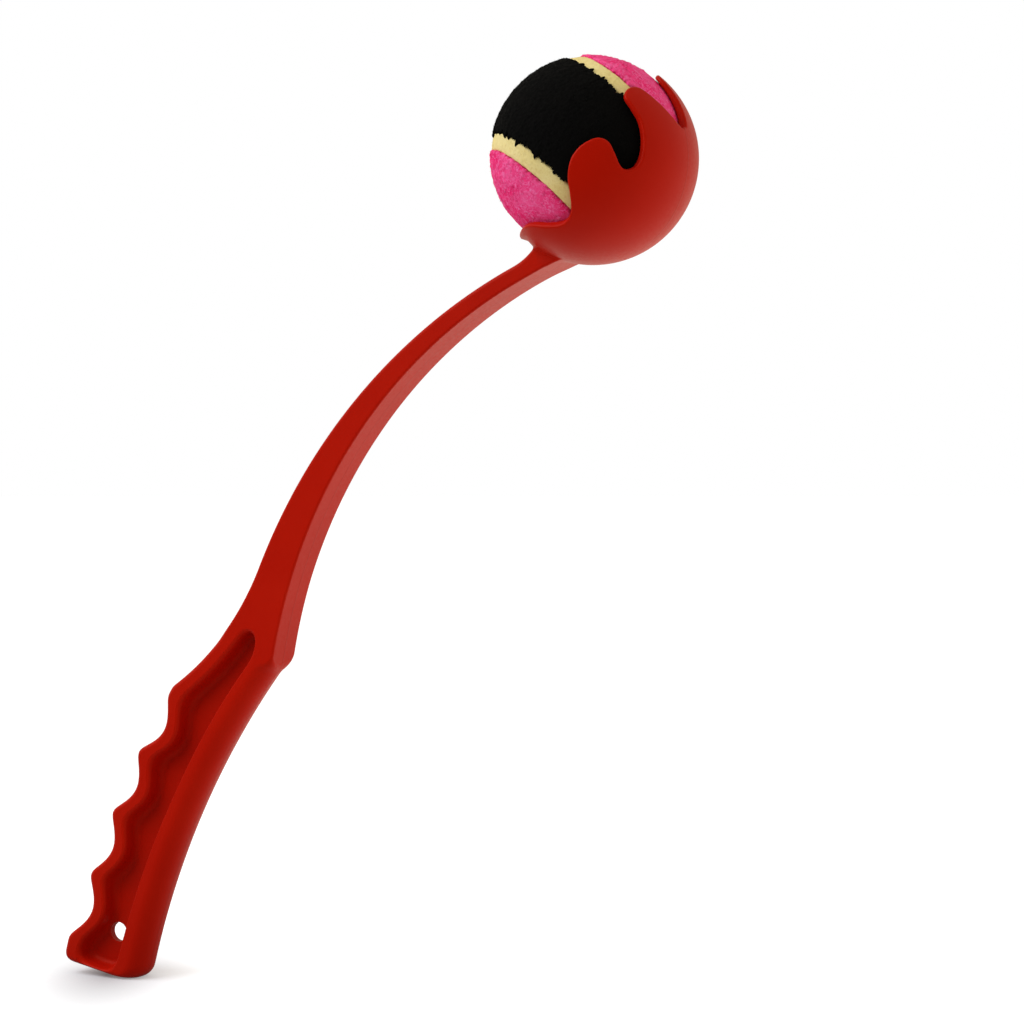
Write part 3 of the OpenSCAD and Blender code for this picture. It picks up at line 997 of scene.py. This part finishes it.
@dataclass
class FeltZone:
    """A piece of felt on the ball between two angles from the band axis.

    Waves are pairs of wavelength in mm and share, and frays are those of the edge with a step of the seed.
    """

    name: str
    ball: BallLayout
    slot: Slot
    nap: Nap
    start: float
    end: float
    seed: int
    waves: tuple[Span, ...] = ((3.1, 0.275), (1.5, 0.4))
    pit_wave: float = 1.15
    pit_level: float = 0.9
    pressed: float = 0.15
    stand: float = 0.16
    most: float = 0.55
    frays: tuple[tuple[float, float, int], ...] = ((2.2, 0.6, 0), (0.9, 0.5, 9))
    fray_seeds: tuple[int, int] = (3, 5)
    least_rows: int = 10
    row_step: float = 0.45
    inner_rows: int = 10
    edge_round: float = 0.55
    fibre_seed: int = 40
    fibre_free: float = 0.5
    fibre_root: float = 0.12
    fibre_lean: Span = (0.5, 2.2)
    fibre_lengths: Span = (0.5, 1.2)
    fibre_widths: Span = (0.6, 1.1)
    fibre_foot: tuple[Span, ...] = ((-1.0, 0.0), (0.5, 0.8), (0.5, -0.8))
    fibre_shade: float = 6.0

    def surface(self, turn: Array, level: Array) -> Array:
        """Points of the felt's outer face: a sphere raised and lowered by soft ripples of several sizes.

        Args:
            turn: Angles round the band axis, in degrees.
            level: Angles from the band axis, in degrees.
        Returns:
            Points in mm about the ball's centre.
        """
        way = self.ball.ways(turn, level)
        flat = way.reshape(-1, 3)
        at = flat * self.ball.ball_r
        wave = sum(share * ripples(at, size, self.seed + k) for k, (size, share) in enumerate(self.waves))
        pits = np.minimum(ripples(at, self.pit_wave, self.seed + len(self.waves)) + self.pit_level, 0)
        free = self.ball.free(flat)
        rise = self.nap.bumps * wave * mix(self.pressed, 1, free) + self.nap.pits * pits + self.stand * free
        lift = np.minimum(rise, mix(self.ball.cup_clear, self.most, free))
        return (flat * (self.ball.ball_r - self.nap.drop + lift)[:, None]).reshape(way.shape)

    def sheet(self) -> tuple[Array, list[Array]]:
        """Closed felt shell: outer face, edges and inner face on the core, in rings round the band axis.

        Returns:
            Points in mm about the ball's centre, and face lists.
        """
        lay, count = self.ball, self.nap.columns
        pole_low, pole_high = self.start <= 0, self.end >= 180
        turn = np.arange(count) / count * 360
        ring = lay.ways(turn, np.full(count, 90.0)) * lay.ball_r
        wander = [self.nap.ragged * sum(share * ripples(ring, size, self.seed + first + more)
                                        for size, share, more in self.frays) for first in self.fray_seeds]
        low = np.zeros(count) if pole_low else self.start + wander[0]
        high = np.full(count, 180.0) if pole_high else self.end + wander[1]
        length = (self.end - self.start) / 180 * np.pi * lay.ball_r
        steps = max(self.least_rows, int(length / self.row_step))
        t = np.linspace(0, 1, steps)[int(pole_low):steps - int(pole_high)]
        level = mix(low, high, t[:, None])
        outer = self.surface(np.broadcast_to(turn, level.shape), level)
        lift = np.linalg.norm(outer, axis=-1, keepdims=True)
        from_low = np.inf if pole_low else np.radians(level - low) * lay.ball_r
        from_high = np.inf if pole_high else np.radians(high - level) * lay.ball_r
        edge = np.maximum(np.minimum(from_low, from_high), 0)
        outer = outer / lift * (lift - rounding(edge, self.edge_round)[..., None])
        inner_t = t[::max(1, len(t) // self.inner_rows)]
        inner_level = mix(low, high, inner_t[::-1, None])
        inner = lay.ways(np.broadcast_to(turn, inner_level.shape), inner_level) * lay.core_r
        points = [outer.reshape(-1, 3), inner.reshape(-1, 3)]
        cut, total = len(points[0]), len(points[0]) + len(points[1])
        faces = [grid_faces(len(outer), count), grid_faces(len(inner), count, cut)]
        if not pole_high:
            faces.append(ring_faces(cut - count, cut, count))
        if not pole_low:
            faces.append(ring_faces(total - count, 0, count))
        if pole_low or pole_high:
            tip = np.array([0.0 if pole_low else 180.0])
            points += [self.surface(np.zeros(1), tip), lay.ways(np.zeros(1), tip) * lay.core_r]
            out_ring, in_ring = (0, total - count) if pole_low else (cut - count, cut)
            faces += [fan_faces(total, out_ring, count, pole_low),
                      fan_faces(total + 1, in_ring, count, pole_high)]
        return np.concatenate(points), faces

    def fibre_points(self) -> tuple[Array, Array]:
        """Short fibres: three-sided spikes that stand on the felt at seeded places and lean at random.

        Returns:
            Corner points about the ball's centre, four to a spike, and triangles of the closed spikes.
        """
        lay, nap = self.ball, self.nap
        rng = np.random.default_rng(self.seed + self.fibre_seed)
        c0, c1 = np.cos(np.radians([self.start, self.end]))
        level = np.degrees(np.arccos(mix(c0, c1, rng.uniform(0, 1, nap.fibres))))
        turn = rng.uniform(0, 360, nap.fibres)
        keep = lay.free(lay.ways(turn, level)) > self.fibre_free
        level, turn = level[keep], turn[keep]
        way = lay.ways(turn, level)
        root = self.surface(turn, level) - self.fibre_root * way
        side = unit(np.cross(way, rng.normal(size=way.shape)))
        other = np.cross(way, side)
        lean = rng.uniform(*self.fibre_lean, (len(way), 1))
        length = nap.fibre_len * rng.uniform(*self.fibre_lengths, (len(way), 1))
        tip = root + unit(way + lean * side) * length
        w = nap.fibre_w * rng.uniform(*self.fibre_widths, (len(way), 1))
        a, b, c = (root + w * (p * other + q * side) for p, q in self.fibre_foot)
        points = np.stack([a, b, c, tip], axis=1).reshape(-1, 3)
        base = np.arange(len(way))[:, None] * 4
        tris = np.concatenate([base + f for f in ((0, 2, 1), (0, 1, 3), (1, 2, 3), (2, 0, 3))])
        flip = np.tile(np.einsum("ij,ij->i", np.cross(b - a, c - a), tip - a) < 0, 4)
        tris[flip] = tris[flip][:, ::-1]
        return points, tris

    def build(self, finish: Material) -> Object:
        """Makes the felt piece with its fibres, dresses it and puts it on the ball's body.

        The fibres' normals are drawn towards the ball's outward way, so that they shade as the felt does.

        Args:
            finish: Material of the felt.
        Returns:
            The piece.
        """
        sheet, faces = self.sheet()
        spikes, tris = self.fibre_points()
        points = np.concatenate([sheet, spikes]) + self.ball.centre
        obj = mesh_object(self.name + "_nap", points, faces + [tris + len(sheet)])
        normals = np.empty(len(points) * 3, np.float32)
        obj.data.vertex_normals.foreach_get("vector", normals)
        normals = normals.reshape(-1, 3)
        outward = np.repeat(spikes.reshape(-1, 4, 3).mean(axis=1), 4, axis=0)
        normals[len(sheet):] = unit(outward + self.fibre_shade * normals[len(sheet):])
        obj.data.normals_split_custom_set_from_vertices(normals.tolist())
        obj.data.materials.append(finish)
        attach(obj, Body.BALL.value)
        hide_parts(self.name)
        return obj


def srgb(r: float, g: float, b: float) -> Colour:
    """Linear colour with full alpha from display values of 0 to 255."""
    c = np.array([r, g, b]) / 255
    return (*np.where(c <= 0.04045, c / 12.92, ((c + 0.055) / 1.055) ** 2.4).tolist(), 1.0)


def grey(value: float) -> Colour:
    """Grey with full alpha."""
    return (value, value, value, 1.0)


class Sheet:
    """Short hand for adding and joining the nodes of one node tree."""

    MIX_SHARE, MIX_A, MIX_B, MIX_OUT = 0, 6, 7, 2

    def __init__(self, tree: Tree) -> None:
        """Keeps the tree."""
        self.tree = tree

    def feed(self, node: bpy.types.Node, values: dict[str | int, object]) -> None:
        """Sets inputs of a node, or joins an input where the value is a socket.

        Args:
            node: Node of this tree.
            values: Values or sockets by the input's name or number.
        """
        for key, value in values.items():
            if isinstance(value, Socket):
                self.tree.links.new(value, node.inputs[key])
            else:
                node.inputs[key].default_value = value

    def add(self, kind: str, values: dict | None = None, **options: object) -> bpy.types.Node:
        """Adds a node.

        Args:
            kind: Type name of the node.
            values: What its inputs are set to or joined to.
            **options: Its other settings.
        Returns:
            The node.
        """
        node = self.tree.nodes.new(kind)
        for key, value in options.items():
            setattr(node, key, value)
        self.feed(node, values or {})
        return node

    def math(self, operation: str, a: object, b: object = 0.0) -> Socket:
        """Result of a math node on two values or sockets."""
        return self.add("ShaderNodeMath", {0: a, 1: b}, operation=operation).outputs[0]

    def vector(self, operation: str, a: object, b: object = (0.0, 0.0, 0.0)) -> bpy.types.Node:
        """Vector math node on two vectors or sockets."""
        return self.add("ShaderNodeVectorMath", {0: a, 1: b}, operation=operation)

    def dot(self, a: object, b: object) -> Socket:
        """Dot product of two vectors."""
        return self.vector("DOT_PRODUCT", a, b).outputs["Value"]

    def bump(self, height: Socket, strength: float, depth: float) -> Socket:
        """Normal of a surface that a height raises by a depth in metres."""
        values = {"Height": height, "Strength": strength, "Distance": depth}
        return self.add("ShaderNodeBump", values).outputs[0]

    def blend(self, share: object, a: object, b: object) -> Socket:
        """Colour a share of the way from a to b."""
        values = {self.MIX_SHARE: share, self.MIX_A: a, self.MIX_B: b}
        return self.add("ShaderNodeMix", values, data_type="RGBA").outputs[self.MIX_OUT]

    def ramp(self, value: object, span: Span, to: Span = (0.0, 1.0)) -> Socket:
        """Value carried from one range to another and held at its ends."""
        values = dict(enumerate((value, *span, *to)))
        return self.add("ShaderNodeMapRange", values, clamp=True).outputs[0]

    def place(self, kind: str = "Object") -> Socket:
        """Coordinates of the surface, or of a way in the surroundings."""
        return self.add("ShaderNodeTexCoord").outputs[kind]

    def noise(self, place: Socket, scale: object, detail: float, rough: float = 0.5,
              warp: float = 0.0) -> Socket:
        """Value of a noise pattern at a place."""
        values = {"Vector": place, "Scale": scale, "Detail": detail, "Roughness": rough, "Distortion": warp}
        return self.add("ShaderNodeTexNoise", values).outputs[0]

    def camera_ray(self) -> Socket:
        """1 for what the camera sees directly, 0 for what lights the object."""
        return self.add("ShaderNodeLightPath").outputs["Is Camera Ray"]


def new_group(name: str, inputs: dict[str, float],
              outputs: Iterable[str]) -> tuple[Sheet, dict[str, Socket], bpy.types.Node]:
    """Empty shader node group with float sockets.

    Args:
        name: Name of the group.
        inputs: Names and first values of the inputs.
        outputs: Names of the outputs.
    Returns:
        The group's sheet, its input sockets by name and its output node.
    """
    tree = bpy.data.node_groups.new(name, "ShaderNodeTree")
    for key, value in inputs.items():
        tree.interface.new_socket(key, in_out="INPUT", socket_type="NodeSocketFloat").default_value = value
    for key in outputs:
        tree.interface.new_socket(key, in_out="OUTPUT", socket_type="NodeSocketFloat")
    sheet = Sheet(tree)
    source = sheet.add("NodeGroupInput")
    return sheet, {key: source.outputs[key] for key in inputs}, sheet.add("NodeGroupOutput")


def moulded_grain() -> Tree:
    """Shared surface of moulded plastic: fine skin height, soft scuffs and slow shifts of tint."""
    sizes = {"Fine": 2600.0, "Slow": 38.0}
    fine_share, soft_share, scuff_at = 0.45, 0.55, (0.35, 0.75)
    sheet, given, out = new_group("moulded_grain", sizes, ("Height", "Scuff", "Tint"))
    place = sheet.place()
    fine = sheet.noise(place, given["Fine"], detail=2.0)
    soft = sheet.noise(place, scale=260.0, detail=1.0)
    scuff = sheet.noise(place, scale=900.0, detail=4.0, rough=0.7)
    parts = [sheet.math("MULTIPLY", *part) for part in ((fine, fine_share), (soft, soft_share))]
    sheet.feed(out, {"Height": sheet.math("ADD", *parts), "Scuff": sheet.ramp(scuff, scuff_at),
                     "Tint": sheet.noise(place, given["Slow"], detail=3.0)})
    return sheet.tree


def felt_nap() -> Tree:
    """Shared surface of felt: matted strands, a mask of small pits for painted shade and slow shifts of
    tint.
    """
    pit_share, pit_at = 0.75, (0.30, 0.46)
    sheet, given, out = new_group("felt_nap", {"Size": 900.0}, ("Height", "Pit", "Tint"))
    place = sheet.place()
    strand = sheet.noise(place, given["Size"], detail=5.0, rough=0.75, warp=1.6)
    pit_scale = sheet.math("MULTIPLY", given["Size"], pit_share)
    pit = sheet.noise(place, pit_scale, detail=3.0, rough=0.6)
    sheet.feed(out, {"Height": strand, "Pit": sheet.ramp(pit, pit_at, (1.0, 0.0)),
                     "Tint": sheet.noise(place, scale=130.0, detail=3.0)})
    return sheet.tree


def new_material(name: str) -> tuple[Material, Sheet, bpy.types.Node]:
    """Material with a Principled surface.

    Args:
        name: Name of the material.
    Returns:
        The material, the sheet of its nodes and the surface's node.
    """
    material = bpy.data.materials.new(name)
    material.use_nodes = True
    return material, Sheet(material.node_tree), material.node_tree.nodes["Principled BSDF"]


@dataclass(frozen=True)
class MouldedPlastic:
    """Satin moulded plastic, with a fine skin, faint scuffs and a mould line along its middle plane: a bump,
    with its colour darkened as painted shade.

    Gloss is the tint of the mirror-like share; the mould line's span and the bump's depth are in metres.
    A name that ends in at is the range of a pattern's values that a change runs through.
    """

    name: str
    base: Colour
    shade: Colour
    seam: Colour
    gloss: Colour
    rough: Span
    bump: float
    line_at: Span = (0.0001, 0.0004)
    tint_at: Span = (0.3, 0.7)
    seam_shade_share: float = 0.18
    line_rise: float = 0.25
    grain_rise: float = 0.12
    bump_depth: float = 0.00022
    ior: float = 1.46
    specular: float = 0.17

    def material(self, grain: Tree) -> Material:
        """Makes the material from the shared grain.

        Args:
            grain: The shared group of moulded plastic.
        Returns:
            The material.
        """
        material, sheet, surface = new_material(self.name)
        skin = sheet.add("ShaderNodeGroup", node_tree=grain)
        y = sheet.add("ShaderNodeSeparateXYZ", {0: sheet.place()}).outputs["Y"]
        line = sheet.ramp(sheet.math("ABSOLUTE", y), self.line_at, (1.0, 0.0))
        plain = sheet.blend(sheet.ramp(skin.outputs["Tint"], self.tint_at), self.base, self.shade)
        height = sheet.math("ADD", sheet.math("MULTIPLY", skin.outputs["Height"], self.grain_rise),
                            sheet.math("MULTIPLY", line, self.line_rise))
        sheet.feed(surface, {
            # Painted shade: along the middle plane the colour is darkened towards seam, beside the line's
            # real bump.
            "Base Color": sheet.blend(sheet.math("MULTIPLY", line, self.seam_shade_share), plain, self.seam),
            "Roughness": sheet.ramp(skin.outputs["Scuff"], (0.0, 1.0), self.rough),
            "Normal": sheet.bump(height, self.bump, self.bump_depth), "IOR": self.ior,
            "Specular IOR Level": self.specular, "Specular Tint": self.gloss})
        return material


@dataclass(frozen=True)
class Felt:
    """Needle felt with a matted nap: base colour, pits darkened as painted shade and lighter flecks on the
    raised nap as painted highlights.

    A name that ends in at is the range of a pattern's values that a change runs through.
    """

    name: str
    base: Colour
    pit: Colour
    light: Colour
    pits: float
    highlight_flecks: float
    sheen: float
    bump: float
    size: float
    tone: float = 0.5
    tone_at: Span = (0.35, 0.7)
    highlight_at: Span = (0.50, 0.60)
    rough: Span = (0.85, 1.0)
    rough_at: Span = (0.2, 0.8)
    bump_depth: float = 0.0006
    specular: float = 0.06
    sheen_rough: float = 0.5

    def material(self, nap: Tree) -> Material:
        """Makes the material from the shared nap.

        Args:
            nap: The shared group of felt.
        Returns:
            The material.
        """
        material, sheet, surface = new_material(self.name)
        felt = sheet.add("ShaderNodeGroup", {"Size": self.size}, node_tree=nap)
        height = felt.outputs["Height"]
        tone = sheet.ramp(felt.outputs["Tint"], self.tone_at, (0.0, self.tone))
        colour = sheet.blend(tone, self.base, self.light)
        # Painted shade: the pits' mask darkens the colour towards pit.
        colour = sheet.blend(sheet.math("MULTIPLY", felt.outputs["Pit"], self.pits), colour, self.pit)
        # Painted highlight: where the nap's height is raised the colour is lightened towards the light
        # colour.
        colour = sheet.blend(sheet.ramp(height, self.highlight_at, (0.0, self.highlight_flecks)), colour, self.light)
        sheet.feed(surface, {
            "Base Color": colour, "Roughness": sheet.ramp(height, self.rough_at, self.rough),
            "Normal": sheet.bump(height, self.bump, self.bump_depth),
            "Specular IOR Level": self.specular, "Sheen Weight": self.sheen,
            "Sheen Roughness": self.sheen_rough, "Sheen Tint": self.light})
        return material


@dataclass(frozen=True)
class Rubber:
    """Dull moulded rubber of the ball's core."""

    name: str
    base: Colour
    shade: Colour
    rough: Span

    def material(self, grain: Tree) -> Material:
        """Makes the material from the shared grain.

        Args:
            grain: The shared group of moulded plastic.
        Returns:
            The material.
        """
        material, sheet, surface = new_material(self.name)
        skin = sheet.add("ShaderNodeGroup", node_tree=grain)
        sheet.feed(surface, {"Base Color": sheet.blend(skin.outputs["Tint"], self.base, self.shade),
                             "Roughness": sheet.ramp(skin.outputs["Scuff"], (0.0, 1.0), self.rough)})
        return material


@dataclass
class Studio:
    """Pale floor, white surroundings, a soft light and the camera.

    Lengths are in metres. The camera sees plain white; the light that reaches the object is a little warm,
    dim in front of its near side (along dim_way) and stronger far to the right. Floor values are grey values
    and strengths: shown and painted_shadow as seen, where the grey paper round the contact is a painted
    shadow;
    bounce, shade and lift as they light the object, where the paper's glow (lift) is a painted bounce light
    and its darker patch near the contact (clear) is painted shade. A name that ends in at is the range of a
    distance, or of a way's share, that a change runs through.
    """

    floor_z: float
    contact: Vector
    floor_reach: float = 3.0
    look_at: Vector = (0.115, 0.0, 0.150)
    camera_at: Vector = (0.7233, -1.0225, 0.2231)
    lens: float = 126.2
    sensor: float = 36.0
    view_end: float = 50.0
    azimuth: float = 29.0
    elevation: float = 3.5
    key_at: Vector = (-0.6, 0.5, 0.22)
    key_size: float = 0.65
    key_power: float = 6.3
    dim_way: Vector = (-0.4, -0.9165, 0.0)
    warm: Colour = (1.0, 0.94, 0.78, 1.0)
    tent_front: float = 0.14
    tent_side: float = 0.78
    tent_right: float = 1.2
    tent_at: Span = (0.0, 0.8)
    right_at: Span = (0.3, 1.0)
    shown: float = 0.5
    shown_tint: Vector = (0.96, 0.99, 1.09)
    shown_grain: float = 0.985
    painted_shadow: Span = (0.1, 0.8)
    painted_shadow_r: float = 0.036
    painted_shadow_depth: float = 0.36
    painted_shadow_shift: float = 0.005
    bounce: float = 0.8
    shade: float = 0.1
    lift: float = 0.62
    shade_at: Span = (0.0, 0.4)
    lift_at: Span = (-0.1, 0.15)
    clear: Span = (0.25, 1.0)
    contact_shade_at: Span = (0.03, 0.22)

    def axes(self) -> tuple[Array, Array, Array]:
        """Camera's right, up and back vectors."""
        a, e = np.radians(self.azimuth), np.radians(self.elevation)
        right = np.array([np.cos(a), np.sin(a), 0.0])
        back = np.array([np.sin(a) * np.cos(e), -np.cos(a) * np.cos(e), np.sin(e)])
        return right, np.cross(back, right), back

    @staticmethod
    def put(name: str, data: bpy.types.ID, columns: Iterable[Array], place: Iterable[float]) -> Object:
        """Object of a camera or light in the scene.

        Args:
            name: Name of the object.
            data: The camera or light.
            columns: Its own x, y and z axes.
            place: Its place.
        Returns:
            The object.
        """
        obj = bpy.data.objects.new(name, data)
        turn = np.eye(4)
        turn[:3, :3] = np.stack(list(columns), axis=1)
        turn[:3, 3] = place
        obj.matrix_world = Matrix(turn.tolist())
        bpy.context.scene.collection.objects.link(obj)
        return obj

    def camera(self) -> None:
        """Sets the camera."""
        data = bpy.data.cameras.new("camera")
        data.lens, data.sensor_width, data.clip_end = self.lens, self.sensor, self.view_end
        bpy.context.scene.camera = self.put("camera", data, self.axes(), self.camera_at)

    def key_light(self) -> None:
        """Square soft light, placed by distances to the camera's right, up and towards it."""
        right, _, back = self.axes()
        across, up, toward = self.key_at
        way = across * right + toward * np.array([back[0], back[1], 0.0]) + np.array([0, 0, up])
        data = bpy.data.lights.new("key_light", "AREA")
        data.size, data.energy = self.key_size, self.key_power
        z = unit(way)
        x = unit(np.cross([0.0, 0.0, 1.0], z))
        self.put("key_light", data, (x, np.cross(z, x), z), np.array(self.look_at) + way)

    def paper(self) -> Material:
        """White paper with a painted shadow: grey round the contact, over the object's real shadow, and
        plain white away from it. For the light it sends back it glows warm behind and to the right as a
        painted bounce light, and is darker near the contact as painted shade.
        """
        material, sheet, surface = new_material("floor_paper")
        right, _, back = self.axes()
        place, camera = sheet.place(), sheet.camera_ray()
        spot = sheet.vector("SUBTRACT", place, self.contact).outputs["Vector"]
        gap = sheet.vector("LENGTH", spot).outputs["Value"]
        near = sheet.dot(spot, self.dim_way)
        # Painted shadow: an ellipse about the contact, stretched along the camera's way and shifted a
        # little, within which the paper the camera sees stays grey.
        across = sheet.math("ADD", sheet.dot(spot, right.tolist()), self.painted_shadow_shift)
        deep = sheet.dot(spot, (back * self.painted_shadow_depth).tolist())
        squares = [sheet.math("MULTIPLY", side, side) for side in (across, deep)]
        far = sheet.math("SQRT", sheet.math("ADD", *squares))
        # The paper as the camera sees it: half grey, so that the painted shadow and the real one show on it.
        pale = np.array(self.shown_tint) * self.shown
        grain = sheet.noise(place, scale=14.0, detail=2.0)
        seen = sheet.blend(grain, (*(self.shown_grain * pale), 1.0), (*pale, 1.0))
        # Painted shade: near the contact the paper sends back less light, which darkens the lower handle.
        clear = sheet.ramp(gap, self.contact_shade_at, self.clear)
        dull = sheet.blend(sheet.ramp(near, self.shade_at), grey(self.bounce), grey(self.shade))
        dull = sheet.blend(clear, grey(self.shade), dull)
        # Painted bounce light: behind and to the right, away from the contact, the paper glows warm onto the
        # object.
        lit = sheet.math("MULTIPLY", clear, sheet.ramp(near, self.lift_at, (self.lift, 0.0)))
        glow = sheet.blend(lit, BLACK, self.warm)
        # Emission that the camera sees: low at the contact and high away from it, which paints the shadow
        # round the contact and turns the paper plain white further out.
        white = sheet.ramp(far, (0.0, self.painted_shadow_r), self.painted_shadow)
        sheet.feed(surface, {
            "Base Color": sheet.blend(camera, dull, seen),
            "Emission Color": sheet.blend(camera, glow, white), "Emission Strength": 1.0,
            "Roughness": 1.0, "Specular IOR Level": 0.0})
        return material

    def floor(self) -> None:
        """Flat floor under the object, square to the camera's way."""
        right, _, back = self.axes()
        ahead = -unit(np.array([back[0], back[1], 0.0]))
        middle = np.array([*self.look_at[:2], self.floor_z])
        ways = np.array([(-1, -1), (1, -1), (1, 1), (-1, 1)]) * self.floor_reach
        mesh = bpy.data.meshes.new("floor")
        mesh.from_pydata((middle + ways @ np.stack([right, ahead])).tolist(), [], [(0, 1, 2, 3)])
        mesh.materials.append(self.paper())
        obj = bpy.data.objects.new("floor", mesh)
        bpy.context.scene.collection.objects.link(obj)

    def world(self) -> None:
        """White surroundings for the camera and, for the object, a light tent."""
        world = bpy.data.worlds.new("surroundings")
        bpy.context.scene.world = world
        world.use_nodes = True
        sheet = Sheet(world.node_tree)
        way, camera = sheet.place("Generated"), sheet.camera_ray()
        tent = sheet.ramp(sheet.dot(way, self.dim_way), self.tent_at, (self.tent_side, self.tent_front))
        gain = sheet.ramp(sheet.dot(way, self.axes()[0].tolist()), self.right_at, (1.0, self.tent_right))
        sheet.feed(world.node_tree.nodes["Background"], {
            "Color": sheet.blend(camera, self.warm, WHITE),
            "Strength": sheet.math("MAXIMUM", camera, sheet.math("MULTIPLY", tent, gain))})

    def build(self) -> None:
        """Sets up the floor, the surroundings, the light and the camera."""
        self.floor()
        self.key_light()
        self.world()
        self.camera()
        bpy.context.scene.view_settings.view_transform = "Standard"


def main() -> None:
    """Builds the looks of the thrower and its ball around the frame."""
    logging.basicConfig(level=logging.INFO, format="%(message)s")
    grain, nap = moulded_grain(), felt_nap()
    plastic = MouldedPlastic(
        "red_plastic", base=srgb(178, 20, 3), shade=srgb(171, 16, 2), seam=srgb(84, 6, 2),
        gloss=(1.0, 0.3, 0.2, 1.0), rough=(0.40, 0.52), bump=0.35)
    felts = {
        Slot.BLACK: Felt(
            "black_felt", base=srgb(3, 3, 3), pit=srgb(1, 1, 1), light=srgb(7, 6, 6),
            pits=0.6, highlight_flecks=0.3, sheen=0.0, bump=0.5, size=1100.0),
        Slot.PALE: Felt(
            "pale_felt", base=srgb(230, 210, 140), pit=srgb(210, 182, 110), light=srgb(242, 228, 172),
            pits=0.5, highlight_flecks=0.4, sheen=0.15, bump=0.5, size=1300.0),
        Slot.PINK: Felt(
            "pink_felt", base=srgb(246, 22, 110), pit=srgb(206, 10, 84), light=srgb(255, 120, 186),
            pits=0.6, highlight_flecks=0.9, sheen=0.2, bump=0.8, size=700.0)}
    rubber = Rubber("core_rubber", base=srgb(96, 92, 88), shade=srgb(80, 77, 74), rough=(0.7, 0.9))

    layout = ThrowerLayout()
    moulding = ThrowerMoulding(layout, SectionTemplate(), CupRim())
    pieces = [moulding.build(plastic.material(grain))]

    _, _, mouth = moulding.mouth_frame()
    ball = BallLayout(in_space(layout.ball_c), mouth)
    belt_nap = Nap(bumps=0.16, pits=0.10, ragged=1.5, drop=0.0, fibres=5000, fibre_len=0.9, fibre_w=0.06,
                   columns=620)
    ring_nap = Nap(bumps=0.10, pits=0.06, ragged=0.0, drop=0.6, fibres=1200, fibre_len=0.6, fibre_w=0.03,
                   columns=440)
    cap_nap = Nap(bumps=0.20, pits=0.10, ragged=0.6, drop=0.0, fibres=3000, fibre_len=0.8, fibre_w=0.03,
                  columns=440)
    cap, belt = ball.cap_angle, ball.cap_angle + ball.ring_angle
    zones = [
        FeltZone("felt_black_belt", ball, Slot.BLACK, belt_nap, belt, 180 - belt, seed=11),
        FeltZone("felt_pale_ring_upper", ball, Slot.PALE, ring_nap, cap, belt, seed=23),
        FeltZone("felt_pale_ring_lower", ball, Slot.PALE, ring_nap, 180 - belt, 180 - cap, seed=31),
        FeltZone("felt_pink_cap_upper", ball, Slot.PINK, cap_nap, 0, cap, seed=47),
        FeltZone("felt_pink_cap_lower", ball, Slot.PINK, cap_nap, 180 - cap, 180, seed=59)]
    finishes = {slot: felt.material(nap) for slot, felt in felts.items()}
    pieces += [zone.build(finishes[zone.slot]) for zone in zones]

    core = rubber.material(grain)
    for name in ("core_half_upper", "core_half_lower"):
        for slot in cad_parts[name].material_slots:
            slot.material = core

    low = min(v[2] for v in pieces[0].bound_box)
    Studio(low, (0.0, 0.0, low)).build()
    for piece in pieces:
        faces = sum(len(p.vertices) - 2 for p in piece.data.polygons)
        LOG.info("%s: %d triangles", piece.name, faces)


if __name__ == "__main__":
    main()
